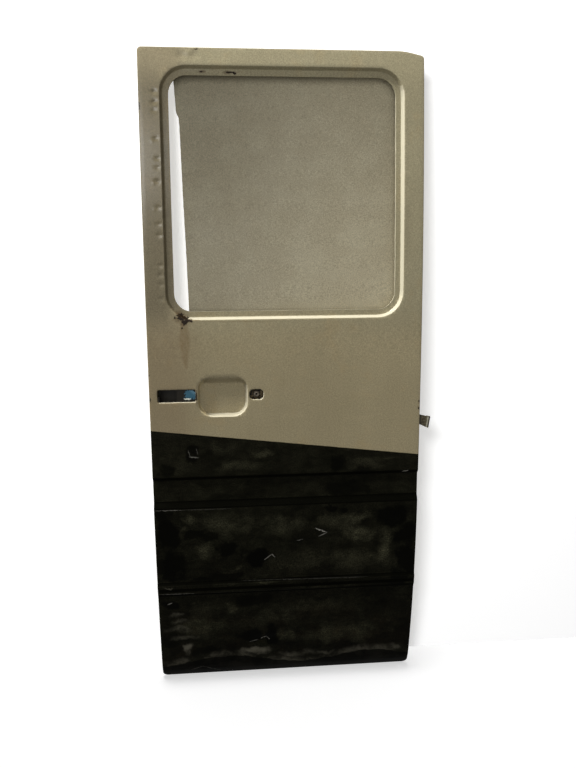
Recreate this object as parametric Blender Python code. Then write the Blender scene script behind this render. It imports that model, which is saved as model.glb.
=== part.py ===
"""Van cargo door shell: pressed outer skin hemmed round an inner panel, with its reinforcements,
the sheet that blanks the window, and the few fixings that are left on it.

Panel coordinates: X to the right seen from outside, Y from the outside face towards the cargo space,
Z up from the bottom edge. The empty hinge_frame then puts the row's origin on the lower hinge face.
"""

import math

import bmesh
import bpy
from mathutils import Matrix, Vector
from mathutils.geometry import delaunay_2d_cdt

# Overall size and the side view of the outside face
WIDTH = 0.600
HEIGHT = 1.424
BELT_HEIGHT = 0.700       # the most prominent height: the face leans in above it
TOP_LEAN = 0.041          # how far the top edge lies behind the belt
TUCK_HEIGHT = 0.475       # below this the face tucks under
TUCK = 0.053              # how far the bottom edge lies behind the belt
LIP_HEIGHT = 0.040        # the last stretch, which rolls in to the bottom edge
LIP_ROLL = 0.010

# Outline corners
CORNER_RADIUS = 0.008
FOOT_RADIUS = 0.012
ROOF_RADIUS = 0.160       # the hinge side's top corner follows the roof
ROOF_START = 0.042        # where that curve's corner lies in from the hinge edge
ROOF_DROP = 0.010

# Sheet and joints between sheets
SHEET = 0.0010
GAP = 0.0003
HEM_WIDTH = 0.0075
HEM_THICKNESS = 3 * SHEET + 2 * GAP
WELD = SHEET / 10         # points of one sheet that lie closer than this become one

# Horizontal bands pressed across the skin: bottom, top, lower flank, upper flank, depth (+ is inwards)
BELT_CHANNEL = (0.447, 0.515, 0.011, 0.006, 0.007)
SILL_BEAD = (0.229, 0.263, 0.006, 0.006, -0.004)
BEND_PITCH = 0.095        # spacing of the rows that follow the side view

# Window
WINDOW_HALF_WIDTH = 0.2575
WINDOW_BOTTOM = 0.866
WINDOW_TOP_MARGIN = 0.035  # below the door's top edge
WINDOW_TOP = HEIGHT - WINDOW_TOP_MARGIN
WINDOW_RADIUS = 0.056
STEP_RUN = 0.006
STEP_DEPTH = 0.010
GLAZING_FLANGE = 0.012

# Handle pocket, the handle's slot and its fixing hole
POCKET_LEFT = -0.196
POCKET_RIGHT = -0.086
POCKET_BOTTOM = 0.653
POCKET_TOP = 0.748
POCKET_RADIUS = 0.032
POCKET_DEPTH = 0.014
POCKET_WALL = 0.010
POCKET_TOP_WALL = 0.018
HANDLE_HEIGHT = 0.7015
SLOT_LEFT = -0.2840
SLOT_RIGHT = -0.1985
SLOT_HALF_HEIGHT = 0.0156
SLOT_RADIUS = 0.0045
SLOT_LIP = 0.006
FIXING_LEFT = -0.0842
FIXING_RIGHT = -0.0502
FIXING_HALF_HEIGHT = 0.0130
FIXING_LIP = 0.004
LIP_RADIUS = 0.0016
BRACKET_LEFT = -0.2250
BRACKET_HEIGHT = 0.036
BRACKET_THICKNESS = 0.0015
BRACKET_JOGGLE_CLEARANCE = 0.0015
HANDLE_NUT_X = -0.0670
HANDLE_NUT_RADIUS = 0.0070
HANDLE_NUT_BORE = 0.0050
HANDLE_NUT_HEIGHT = 0.0090

# Inner panel
DOOR_DEPTH = 0.041        # outside face to the inner panel's cargo side
WALL_INSET = 0.016        # door edge to the inner panel's side wall
FLANGE_INSET = 0.0025
FOLD_RADIUS = 0.005
WINDOW_WALL_RUN = 0.0045
BEAD_DEPTH = 0.005
BEAD_RUN = 0.007
CLIP_HOLE_RADIUS = 0.004
SERVICE_LIP_RADIUS = 0.002
SERVICE_LIP = 0.005

# The inner panel's holes and beads: left, right, bottom, top, corner radius
SERVICE_HOLES = {
    "lower": (-0.190, 0.190, 0.290, 0.425, 0.045),
    "latch": (-0.235, -0.055, 0.600, 0.750, 0.035),
    "hinge": (0.060, 0.215, 0.610, 0.740, 0.035),
}
STIFFENING_BEADS = (
    (-0.215, 0.215, 0.060, 0.094, 0.017),
    (-0.215, 0.215, 0.120, 0.154, 0.017),
    (-0.025, 0.030, 0.490, 0.745, 0.0275),
    (-0.225, -0.075, 0.490, 0.530, 0.020),
    (0.080, 0.225, 0.490, 0.530, 0.020),
)
CLIP_HOLE_X = 0.258
CLIP_HOLE_HEIGHTS = (0.080, 0.250, 0.430, 0.600, 0.762)

# Hinges, latch and stay
LOWER_HINGE_HEIGHT = 0.270
UPPER_HINGE_MARGIN = 0.274  # below the door's top edge
HINGE_HEIGHTS = {"lower": LOWER_HINGE_HEIGHT, "upper": HEIGHT - UPPER_HINGE_MARGIN}
HINGE_BOLT_SPACING = 0.044
HINGE_BOLT_HOLE = 0.0090
HINGE_PLATE_HEIGHT = 0.090
HINGE_PLATE_THICKNESS = 0.003
NUT_WIDTH = 0.013
NUT_THICKNESS = 0.0065
NUT_BORE = 0.008
LATCH_HEIGHT = 0.640
LATCH_PLATE_HEIGHT = 0.110
LATCH_PLATE_THICKNESS = 0.0025
LATCH_MOUTH_HEIGHT = 0.044
LATCH_MOUTH_DEPTH = 0.018
LATCH_SCREW_HOLE = 0.0065
LATCH_SCREW_SPACING = 0.074
REINFORCEMENT_DEPTH = 0.026
STAY_HEIGHT = 0.638
STAY_REACH = 0.029        # past the door's edge
STAY_TONGUE_HEIGHT = 0.020
STAY_THICKNESS = 0.003
STAY_BASE_HEIGHT = 0.060
STAY_BASE_DEPTH = 0.022
STAY_CORNER_RADIUS = 0.004
STAY_BEND_RADIUS = 0.002
STAY_EYE_RADIUS = 0.0025
STAY_EYE_TURN = math.radians(280)
STAY_DROOP = math.radians(13)
STAY_SCREW_SPACING = 0.042

# Rails inside the cavity
RAIL_HEIGHT = 0.022
RAIL_CROWN = 0.026
RAIL_FLANGE = 0.014
RAIL_FLANK = 0.005
WAIST_RAIL_DROP = 0.054   # below the window's bottom
WAIST_RAIL_HEIGHT = WINDOW_BOTTOM - WAIST_RAIL_DROP
LOWER_RAIL_HEIGHT = 0.205
RAIL_END_GAP = 0.0005

# Blanking sheet behind the window and its screws
BLANK_THICKNESS = 0.0012
BLANK_OVERLAP = 0.020     # past the window wall at the sill and the hinge side
BLANK_TOP_OVERLAP = 0.010
BLANK_SCREW_INSET = 0.0065
BLANK_SCREWS_ACROSS = (-0.165, 0.020, 0.205)
BLANK_SCREW_SHARES = (0.2945, 0.6864)  # the side's screws, up the window's height
BLANK_CUT_TOP = 0.0240    # the hand-cut edge, in from the opening's latch side, at the sheet's top
BLANK_CUT_FOOT = 0.0462   # the same at its bottom
BLANK_CUT_RUNS = (0.0270, 0.0298, 0.0315, 0.0348, 0.0365, 0.0395, 0.0430, 0.0452)
BLANK_CUT_SHARES = (0.9293, 0.8356, 0.8241, 0.8126, 0.7572, 0.5048, 0.2753, 0.0841)
SCREW_HEAD_RADIUS = 0.0045
SCREW_HEAD_HEIGHT = 0.0030
SCREW_SHANK_RADIUS = 0.0020
SCREW_LENGTH = 0.011

WALL_FACE = WIDTH / 2 - WALL_INSET + SHEET      # the side walls' outer faces, measured from the middle
CAVITY_BACK = DOOR_DEPTH - SHEET                # the inner panel's front side


def clamp(value):
    return max(0.0, min(1.0, value))


def smooth(value):
    return value * value * (3 - 2 * value)


def side_view(z):
    """How far the outside face's curve lies behind the belt at height z."""
    y = 0.0
    if z > BELT_HEIGHT:
        y += TOP_LEAN * ((z - BELT_HEIGHT) / (HEIGHT - BELT_HEIGHT)) ** 2
    if z < TUCK_HEIGHT:
        y += TUCK * ((TUCK_HEIGHT - z) / TUCK_HEIGHT) ** 2
    if z < LIP_HEIGHT:
        y += LIP_ROLL * ((LIP_HEIGHT - z) / LIP_HEIGHT) ** 2
    return y


def band_y(z):
    """Depth of the horizontal bands at height z."""
    return sum(
        depth * clamp(min((z - bottom) / lower_flank, (top - z) / upper_flank))
        for bottom, top, lower_flank, upper_flank, depth in (BELT_CHANNEL, SILL_BEAD)
    )


def bend_rows():
    """Heights at which every sheet gets a row of points, so that all follow the same side view."""
    count = round(HEIGHT / BEND_PITCH)
    rows = [HEIGHT * i / count for i in range(1, count)]
    edges = [LIP_HEIGHT * share for share in (0.48, 0.72, 1.0)]
    for bottom, top, lower_flank, upper_flank, _ in (BELT_CHANNEL, SILL_BEAD):
        edges += [bottom, bottom + lower_flank, top - upper_flank, top]
    clear = [z for z in rows if all(abs(z - e) > BEND_PITCH / 6 for e in edges)]
    return sorted(clear + edges)


ROWS = bend_rows()
MARKS = [0.0, *ROWS, HEIGHT]


def mark_below(z):
    """The bend row below height z, and how far z lies on the way to the next one."""
    i = next((i for i in range(len(MARKS) - 2) if z < MARKS[i + 1]), len(MARKS) - 2)
    return i, (z - MARKS[i]) / (MARKS[i + 1] - MARKS[i])


def face_y(z):
    """The side view as the sheets have it, straight from row to row, without the bands."""
    i, share = mark_below(z)
    return side_view(MARKS[i]) * (1 - share) + side_view(MARKS[i + 1]) * share


def mitres():
    """For each bend row, where a sheet one unit behind the outside face has its own bend, as (y, z)."""
    points = [Vector((side_view(z) + band_y(z), z)) for z in MARKS]
    normals = [Vector(((b - a).y, -(b - a).x)).normalized() for a, b in zip(points, points[1:])]
    pairs = zip(normals[:1] + normals, normals + normals[-1:])
    return [(a + b) / (1 + a.dot(b)) for a, b in pairs]


MITRES = mitres()


def behind_face(z, depth):
    """The point (y, z) that lies square behind the outside face, bands and all, by the given depth."""
    i, share = mark_below(z)
    low, high = (
        Vector((side_view(MARKS[k]) + band_y(MARKS[k]), MARKS[k])) + MITRES[k] * depth for k in (i, i + 1)
    )
    return low.lerp(high, share)


def lean(z):
    """The angle by which the sheets lean at height z."""
    rise = 2 * SCREW_HEAD_RADIUS
    return math.atan2(face_y(z + rise / 2) - face_y(z - rise / 2), rise)


class RoundedBox:
    """A rectangle with round corners in the XZ plane, the plan of each opening and pressing."""

    def __init__(self, left, right, bottom, top, radius):
        self.left, self.right, self.bottom, self.top = left, right, bottom, top
        self.radius = min(radius, (right - left) / 2, (top - bottom) / 2)

    def inset(self, by, top=None):
        return RoundedBox(
            self.left + by,
            self.right - by,
            self.bottom + by,
            self.top - (by if top is None else top),
            max(self.radius - by, SHEET),
        )

    def between(self, other, share):
        def mix(a, b):
            return a + (b - a) * share

        return RoundedBox(
            mix(self.left, other.left),
            mix(self.right, other.right),
            mix(self.bottom, other.bottom),
            mix(self.top, other.top),
            mix(self.radius, other.radius),
        )

    def distance(self, x, z):
        """Signed distance from the outline, negative inside."""
        middle_x, middle_z = (self.left + self.right) / 2, (self.bottom + self.top) / 2
        dx = abs(x - middle_x) - (self.right - self.left) / 2 + self.radius
        dz = abs(z - middle_z) - (self.top - self.bottom) / 2 + self.radius
        return math.hypot(max(dx, 0), max(dz, 0)) + min(max(dx, dz), 0) - self.radius

    def outline(self, steps):
        corners = [
            (self.left, self.bottom),
            (self.right, self.bottom),
            (self.right, self.top),
            (self.left, self.top),
        ]
        return filleted([(x, z, self.radius, steps) for x, z in corners])


def filleted(corners):
    """A closed outline through corners (x, z, radius, steps), anticlockwise, each corner a tangent arc."""
    points = []
    for i, (x, z, radius, steps) in enumerate(corners):
        if not radius:
            points.append((x, z))
            continue
        corner = Vector((x, z))
        before = (Vector(corners[i - 1][:2]) - corner).normalized()
        after = (Vector(corners[(i + 1) % len(corners)][:2]) - corner).normalized()
        half = before.angle(after) / 2
        centre = corner + (before + after).normalized() * (radius / math.sin(half))
        first = corner + before * (radius / math.tan(half)) - centre
        turn = math.pi - 2 * half
        for step in range(steps + 1):
            angle = turn * step / steps
            spoke = Matrix.Rotation(angle, 2) @ first
            points.append(tuple(centre + spoke))
    return points


def circle(x, z, radius, steps):
    turns = (math.tau * (i + 0.5) / steps for i in range(steps))
    return [(x + radius * math.cos(t), z + radius * math.sin(t)) for t in turns]


def door_outline(inset=0.0):
    """The door's outline, or one that lies inset inside it."""
    left, right, bottom, top = -WIDTH / 2 + inset, WIDTH / 2 - inset, inset, HEIGHT - inset
    slope = ROOF_DROP / ROOF_START
    stretch = math.hypot(1, slope)
    roof_x = WIDTH / 2 - ROOF_START - inset * (stretch - 1) / slope
    roof_end = HEIGHT - ROOF_DROP - inset * (stretch - slope)
    foot = max(FOOT_RADIUS - inset, SHEET)
    corner = max(CORNER_RADIUS - inset, SHEET)
    return filleted(
        [
            (left, bottom, foot, 5),
            (right, bottom, foot, 5),
            (right, roof_end, corner, 4),
            (roof_x, top, ROOF_RADIUS - inset, 5),
            (left, top, corner, 4),
        ]
    )


def is_inside(x, z, loop):
    crossings = 0
    for (x1, z1), (x2, z2) in zip(loop, loop[1:] + loop[:1]):
        if (z1 > z) != (z2 > z) and x < x1 + (z - z1) * (x2 - x1) / (z2 - z1):
            crossings += 1
    return crossings % 2 == 1


def flat_sheet(outline, holes=(), creases=(), rows=()):
    """A flat sheet in the XZ plane facing -Y, with a line of edges along every crease and row."""
    points, edges = [], []
    for loop in [outline, *holes, *creases]:
        start = len(points)
        points += [Vector(p) for p in loop]
        edges += [(start + i, start + (i + 1) % len(loop)) for i in range(len(loop))]
    drawn = len(points)
    reach = max(abs(x) for x, _ in outline) + SHEET
    for z in rows:
        edges.append((len(points), len(points) + 1))
        points += [Vector((-reach, z)), Vector((reach, z))]
    corners, _, faces, sources, *_ = delaunay_2d_cdt(points, edges, [], 0, 1e-6)
    bm = bmesh.new()
    verts = [bm.verts.new((x, 0, z)) for x, z in corners]
    for face in faces:
        x, z = sum((corners[i] for i in face), Vector((0, 0))) / len(face)
        if is_inside(x, z, outline) and not any(is_inside(x, z, hole) for hole in holes):
            bm.faces.new([verts[i] for i in face])
    # where a row meets a free edge close to a drawn corner, it ends in that corner
    corner_verts = {verts[i] for i, given in enumerate(sources) if any(k < drawn for k in given)}
    ends = {}
    for edge in bm.edges:
        if edge.is_boundary and edge.calc_length() < LIP_RADIUS:
            for a, b in (edge.verts, reversed(edge.verts)):
                if a in corner_verts and b not in corner_verts:
                    ends[b] = a
    bmesh.ops.delete(bm, geom=[v for v in verts if not v.link_faces], context="VERTS")
    bmesh.ops.weld_verts(bm, targetmap=ends)
    bmesh.ops.remove_doubles(bm, verts=bm.verts, dist=WELD)
    return bm


def free_edges(bm, box=None):
    """The sheet's free edges: all of its outer boundary, or those round one opening."""
    found = [e for e in bm.edges if e.is_boundary]
    if box is None:
        return found
    return [e for e in found if all(abs(box.distance(v.co.x, v.co.z)) < SHEET for v in e.verts)]


def outward(edges):
    """For each vertex of free edges, the direction in XZ away from the sheet, mitred at corners."""
    normals = {}
    for edge in edges:
        a, b = (v.co.xz for v in edge.verts)
        normal = Vector(((b - a).y, -(b - a).x)).normalized()
        if normal.dot(edge.link_faces[0].calc_center_median().xz - a) > 0:
            normal.negate()
        for v in edge.verts:
            normals.setdefault(v, []).append(normal)
    mitred = {}
    for v, pair in normals.items():
        middle = sum(pair, Vector((0, 0))).normalized()
        middle /= max(middle.dot(pair[0]), 0.5)
        mitred[v] = Vector((middle.x, 0, middle.y))
    return mitred


def fold_edge(bm, edges, path):
    """Folds a free edge on along path, whose steps are (away from the sheet, backwards)."""
    away = outward(edges)
    for out, back in path:
        made = bmesh.ops.extrude_edge_only(bm, edges=edges)["geom"]
        edges = [g for g in made if isinstance(g, bmesh.types.BMEdge)]
        carried = {}
        for v in (g for g in made if isinstance(g, bmesh.types.BMVert)):
            source = next(e.other_vert(v) for e in v.link_edges if e.other_vert(v) in away)
            carried[v] = away[source]
            v.co += away[source] * out + Vector((0, back, 0))
        away = carried


def quarter_bend(radius, directions, steps=3):
    """Steps of a quarter-circle fold, from one direction to the other. Both are (away, backwards)."""
    out, back = directions
    path = []
    for i in range(steps):
        a, b = (math.pi / 2 * (i + k) / steps for k in (0, 1))
        ahead = radius * (math.sin(b) - math.sin(a))
        aside = radius * (math.cos(a) - math.cos(b))
        path.append((out[0] * ahead + back[0] * aside, out[1] * ahead + back[1] * aside))
    return path


def pressed(x, z, outer, inner, depth):
    """Depth of a pressing whose wall runs from the outline outer down to the outline inner."""
    outside = -outer.distance(x, z)
    inside = inner.distance(x, z)
    if outside <= 0:
        return 0.0
    return depth * smooth(clamp(outside / (outside + max(inside, 0))))


def wall_loops(outer, inner, steps):
    return [outer.between(inner, share).outline(steps) for share in (0, 0.2, 0.5, 0.8, 1)]


def material(name, colour, metallic, roughness):
    made = bpy.data.materials.new(name)
    made.use_nodes = True
    shader = made.node_tree.nodes["Principled BSDF"]
    shader.inputs["Base Color"].default_value = (*colour, 1)
    shader.inputs["Metallic"].default_value = metallic
    shader.inputs["Roughness"].default_value = roughness
    return made


def place(name, mesh, finish, location=(0, 0, 0), rotation=(0, 0, 0)):
    """A named piece on the hinge frame. mesh is a bmesh, or a mesh that another copy already uses."""
    if isinstance(mesh, bmesh.types.BMesh):
        data = bpy.data.meshes.new(name)
        mesh.to_mesh(data)
        mesh.free()
        data.materials.append(finish)
        data.shade_smooth()
        data.set_sharp_from_angle(angle=math.radians(28))
    else:
        data = mesh
    piece = bpy.data.objects.new(name, data)
    bpy.context.scene.collection.objects.link(piece)
    piece.parent = bpy.data.objects["hinge_frame"]
    piece.location = location
    piece.rotation_euler = rotation
    return piece


def face_front(bm):
    """Turns an open sheet so that its outside faces -Y."""
    bmesh.ops.recalc_face_normals(bm, faces=bm.faces)
    facing = sum(f.normal.y * f.calc_area() for f in bm.faces)
    if facing > 0:
        bmesh.ops.reverse_faces(bm, faces=bm.faces)


def thicken(piece, thickness=SHEET):
    """Gives a sheet its thickness behind its outside surface."""
    solidify = piece.modifiers.new("sheet", "SOLIDIFY")
    solidify.thickness = thickness
    solidify.offset = -1
    solidify.use_even_offset = True
    solidify.use_quality_normals = True


def cut(piece, name, bm):
    """Cuts a closed shape out of a piece."""
    data = bpy.data.meshes.new(name)
    bmesh.ops.recalc_face_normals(bm, faces=bm.faces)
    bm.to_mesh(data)
    bm.free()
    cutter = bpy.data.objects.new(name, data)
    bpy.context.scene.collection.objects.link(cutter)
    cutter.parent = bpy.data.objects["hinge_frame"]
    cutter.hide_render = True
    cutter.display_type = "WIRE"
    boolean = piece.modifiers.new(name, "BOOLEAN")
    boolean.operation = "DIFFERENCE"
    boolean.solver = "EXACT"
    boolean.object = cutter


def block(low, high):
    """A plain block between two corners, as a bmesh."""
    bm = bmesh.new()
    bmesh.ops.create_cube(bm, size=1)
    low, high = Vector(low), Vector(high)
    for v in bm.verts:
        v.co = (low + high) / 2 + Vector(c * s for c, s in zip(v.co, high - low))
    return bm


def bar_along_x(x_from, x_to, y, z, radius, segments=10):
    """A round cutter along X, as a bmesh."""
    bm = bmesh.new()
    turn = Matrix.Rotation(math.pi / 2, 4, "Y")
    centre = Matrix.Translation(((x_from + x_to) / 2, y, z))
    bmesh.ops.create_cone(
        bm, cap_ends=True, segments=segments, radius1=radius, radius2=radius,
        depth=abs(x_to - x_from), matrix=centre @ turn,
    )
    return bm


def joined(parts):
    """Several closed shapes that stand clear of each other, as one bmesh."""
    whole = bmesh.new()
    for part in parts:
        scratch = bpy.data.meshes.new("scratch")
        part.to_mesh(scratch)
        part.free()
        whole.from_mesh(scratch)
        bpy.data.meshes.remove(scratch)
    return whole


def swept(line, along):
    """An open sheet made by moving a line of points along a vector."""
    bm = bmesh.new()
    points = [bm.verts.new(p) for p in line]
    edges = [bm.edges.new(pair) for pair in zip(points, points[1:])]
    made = bmesh.ops.extrude_edge_only(bm, edges=edges)["geom"]
    moved = [g for g in made if isinstance(g, bmesh.types.BMVert)]
    bmesh.ops.translate(bm, verts=moved, vec=along)
    return bm


def turned(profile, segments=16, closed=False):
    """A solid turned about Y from a profile of (radius, y): one that ends on the axis, or a closed one."""
    bm = bmesh.new()
    points = [bm.verts.new((radius, y, 0)) for radius, y in profile]
    following = points[1:] + points[:1] if closed else points[1:]
    line = [bm.edges.new(pair) for pair in zip(points, following)]
    bmesh.ops.spin(
        bm, geom=points + line, cent=(0, 0, 0), axis=(0, 1, 0), angle=math.tau,
        steps=segments, use_merge=True,
    )
    bmesh.ops.remove_doubles(bm, verts=bm.verts, dist=1e-6)
    bmesh.ops.recalc_face_normals(bm, faces=bm.faces)
    return bm


WINDOW = RoundedBox(-WINDOW_HALF_WIDTH, WINDOW_HALF_WIDTH, WINDOW_BOTTOM, WINDOW_TOP, WINDOW_RADIUS)
STEP_FOOT = WINDOW.inset(STEP_RUN)
APERTURE = STEP_FOOT.inset(GLAZING_FLANGE)
POCKET = RoundedBox(POCKET_LEFT, POCKET_RIGHT, POCKET_BOTTOM, POCKET_TOP, POCKET_RADIUS)
POCKET_FLOOR = POCKET.inset(POCKET_WALL, POCKET_TOP_WALL)
SLOT = RoundedBox(
    SLOT_LEFT, SLOT_RIGHT, HANDLE_HEIGHT - SLOT_HALF_HEIGHT, HANDLE_HEIGHT + SLOT_HALF_HEIGHT, SLOT_RADIUS
)
FIXING = RoundedBox(
    FIXING_LEFT, FIXING_RIGHT, HANDLE_HEIGHT - FIXING_HALF_HEIGHT, HANDLE_HEIGHT + FIXING_HALF_HEIGHT,
    FIXING_HALF_HEIGHT * 0.8,
)


def outer_skin(paint):
    holes = [APERTURE.outline(8), SLOT.outline(2), FIXING.outline(4)]
    creases = wall_loops(WINDOW, STEP_FOOT, 8) + wall_loops(POCKET, POCKET_FLOOR, 6)
    hem_radius = HEM_THICKNESS / 2
    bm = flat_sheet(door_outline(hem_radius), holes, creases, ROWS)
    for v in bm.verts:
        x, _, z = v.co
        step = pressed(x, z, WINDOW, STEP_FOOT, STEP_DEPTH)
        pocket = pressed(x, z, POCKET, POCKET_FLOOR, POCKET_DEPTH)
        v.co.y = step + pocket
    lips = [(box, lip) for box, lip in ((SLOT, SLOT_LIP), (FIXING, FIXING_LIP))]
    for box, lip in lips:
        edges = free_edges(bm, box)
        fold_edge(bm, edges, quarter_bend(LIP_RADIUS, ((1, 0), (0, 1)), 2) + [(0, lip - LIP_RADIUS)])
    rim = [
        e for e in free_edges(bm)
        if all(APERTURE.distance(v.co.x, v.co.z) > SHEET and v.co.y < GAP for v in e.verts)
    ]
    hem = quarter_bend(hem_radius, ((1, 0), (0, 1)), 2) + quarter_bend(hem_radius, ((0, 1), (-1, 0)), 2)
    fold_edge(bm, rim, hem + [(hem_radius - HEM_WIDTH, 0)])
    for v in bm.verts:
        v.co.yz = behind_face(v.co.z, v.co.y)
    face_front(bm)
    thicken(place("outer_skin", bm, paint))


WINDOW_BACK = STEP_FOOT.inset(-WINDOW_WALL_RUN)


def window_height(share):
    return WINDOW_BOTTOM + (WINDOW_TOP - WINDOW_BOTTOM) * share


def blank_screw_places():
    """Screws along the top, the sill and the hinge side of the window frame."""
    edges = blank_edges()
    top = edges.top - BLANK_SCREW_INSET
    sill = edges.bottom + BLANK_SCREW_INSET
    side = edges.right - BLANK_SCREW_INSET
    places = [(x, z) for z in (top, sill) for x in BLANK_SCREWS_ACROSS]
    return places + [(side, window_height(share)) for share in BLANK_SCREW_SHARES]


def blank_edges():
    """The blanking sheet's square edges: hinge side, sill and top."""
    return RoundedBox(
        WINDOW_BACK.left - BLANK_OVERLAP,
        WINDOW_BACK.right + BLANK_OVERLAP,
        WINDOW_BACK.bottom - BLANK_OVERLAP,
        WINDOW_BACK.top + BLANK_TOP_OVERLAP,
        SHEET,
    )


def inner_panel(paint):
    screw_holes = [circle(x, z, SCREW_SHANK_RADIUS + 2 * GAP, 8) for x, z in blank_screw_places()]
    clip_holes = [
        circle(side * CLIP_HOLE_X, z, CLIP_HOLE_RADIUS, 8) for side in (-1, 1) for z in CLIP_HOLE_HEIGHTS
    ]
    service_holes = [RoundedBox(*sides) for sides in SERVICE_HOLES.values()]
    holes = [WINDOW_BACK.outline(8), *(box.outline(5) for box in service_holes)]
    beads = [RoundedBox(*sides) for sides in STIFFENING_BEADS]
    creases = [loop for bead in beads for loop in (bead.outline(5), bead.inset(BEAD_RUN).outline(5))]
    start = WALL_INSET + FOLD_RADIUS
    bm = flat_sheet(door_outline(start), holes + screw_holes + clip_holes, creases, ROWS)
    for v in bm.verts:
        x, _, z = v.co
        pressings = sum(pressed(x, z, bead, bead.inset(BEAD_RUN), BEAD_DEPTH) for bead in beads)
        v.co.y = CAVITY_BACK - pressings
    wall_top = CAVITY_BACK - SHEET - GAP - FOLD_RADIUS
    rim = [
        e for e in free_edges(bm)
        if all(not is_inside(v.co.x, v.co.z, door_outline(start + SHEET)) for v in e.verts)
    ]
    window_rim = free_edges(bm, WINDOW_BACK)
    service_rims = [free_edges(bm, box) for box in service_holes]
    fold_edge(
        bm, rim,
        quarter_bend(FOLD_RADIUS, ((1, 0), (0, -1)))
        + [(0, -(wall_top - FOLD_RADIUS / 2))]
        + quarter_bend(FOLD_RADIUS / 2, ((0, -1), (1, 0)), 2)
        + [(WALL_INSET - FLANGE_INSET - FOLD_RADIUS / 2, 0)],
    )
    fold_edge(
        bm, window_rim,
        [(WINDOW_WALL_RUN, -(CAVITY_BACK - STEP_DEPTH - SHEET - GAP)), (GLAZING_FLANGE, 0)],
    )
    for edges in service_rims:
        turned_in = quarter_bend(SERVICE_LIP_RADIUS, ((1, 0), (0, -1)), 2)
        fold_edge(bm, edges, turned_in + [(0, SERVICE_LIP_RADIUS - SERVICE_LIP)])
    for v in bm.verts:
        if v.co.y < DOOR_DEPTH / 2:
            v.co.yz = behind_face(v.co.z, v.co.y)
        else:
            v.co.y += face_y(v.co.z)
    face_front(bm)
    piece = place("inner_panel", bm, paint)
    thicken(piece)
    cut(piece, "wall_openings", joined(wall_cutters(SHEET * 4)))


def wall_depth(z):
    """Y of the middle of the side walls at height z."""
    return face_y(z) + (HEM_THICKNESS + DOOR_DEPTH) / 2


def hinge_bolts(name):
    middle = HINGE_HEIGHTS[name]
    return [middle + side * HINGE_BOLT_SPACING / 2 for side in (-1, 1)]


def wall_cutters(reach):
    """Holes in the side walls: hinge bolts and stay screws in one, latch mouth and screws in the other."""
    wall = WALL_FACE - SHEET / 2
    bars = [
        bar_along_x(wall - reach, wall + reach, wall_depth(HINGE_HEIGHTS[name]), z, HINGE_BOLT_HOLE / 2)
        for name in HINGE_HEIGHTS for z in hinge_bolts(name)
    ]
    bars += [
        bar_along_x(wall - reach, wall + reach, wall_depth(STAY_HEIGHT), z, SCREW_SHANK_RADIUS + GAP, 8)
        for z in stay_screws()
    ]
    bars += [
        bar_along_x(-wall - reach, -wall + reach, wall_depth(LATCH_HEIGHT), z, LATCH_SCREW_HOLE / 2, 8)
        for z in latch_screws()
    ]
    y = wall_depth(LATCH_HEIGHT)
    mouth = block(
        (-wall - reach, y - LATCH_MOUTH_DEPTH / 2, LATCH_HEIGHT - LATCH_MOUTH_HEIGHT / 2),
        (-wall + reach, y + LATCH_MOUTH_DEPTH / 2, LATCH_HEIGHT + LATCH_MOUTH_HEIGHT / 2),
    )
    return bars + [mouth]


def latch_screws():
    return [LATCH_HEIGHT + side * LATCH_SCREW_SPACING / 2 for side in (-1, 1)]


def stay_screws():
    return [STAY_HEIGHT + side * STAY_SCREW_SPACING / 2 for side in (-1, 1)]


def blanking_sheet(paint):
    """The sheet behind the window. Its latch side was cut by hand, short of the opening and with a nick."""
    edges = blank_edges()
    cut_edge = [
        (WINDOW_BACK.left + run, window_height(share))
        for run, share in zip(BLANK_CUT_RUNS, BLANK_CUT_SHARES)
    ]
    outline = [
        (edges.right, edges.bottom),
        (edges.right, edges.top),
        (WINDOW_BACK.left + BLANK_CUT_TOP, edges.top),
        *cut_edge,
        (WINDOW_BACK.left + BLANK_CUT_FOOT, edges.bottom),
    ]
    holes = [circle(x, z, SCREW_SHANK_RADIUS + 2 * GAP, 8) for x, z in blank_screw_places()]
    bm = flat_sheet(outline, holes, (), ROWS)
    for v in bm.verts:
        v.co.y = face_y(v.co.z) + DOOR_DEPTH + GAP
    face_front(bm)
    thicken(place("blanking_sheet", bm, paint), BLANK_THICKNESS)


def pan_screw(length=SCREW_LENGTH):
    """A pan-head sheet-metal screw: its head bears at y 0 and stands behind it, its point runs to -Y."""
    head = [
        (0.0, SCREW_HEAD_HEIGHT),
        (SCREW_HEAD_RADIUS * 0.55, SCREW_HEAD_HEIGHT),
        (SCREW_HEAD_RADIUS * 0.9, SCREW_HEAD_HEIGHT * 0.65),
        (SCREW_HEAD_RADIUS, SCREW_HEAD_HEIGHT * 0.2),
        (SCREW_HEAD_RADIUS, 0.0),
    ]
    shank = [(SCREW_SHANK_RADIUS, 0.0), (SCREW_SHANK_RADIUS, -length * 0.75), (0.0, -length)]
    return turned(head + shank, 12)


def copies(seats, make, finish):
    """Places one mesh under several names. seats lists (name, location, rotation)."""
    shared = None
    for name, location, rotation in seats:
        piece = place(name, shared or make(), finish, location, rotation)
        shared = piece.data


def blanking_screws(zinc):
    under_head = DOOR_DEPTH + GAP + BLANK_THICKNESS + GAP
    seats = [
        (f"blanking_screw_{i}", (x, face_y(z) + under_head, z), (-lean(z), 0, 0))
        for i, (x, z) in enumerate(blank_screw_places(), 1)
    ]
    copies(seats, pan_screw, zinc)


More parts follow.
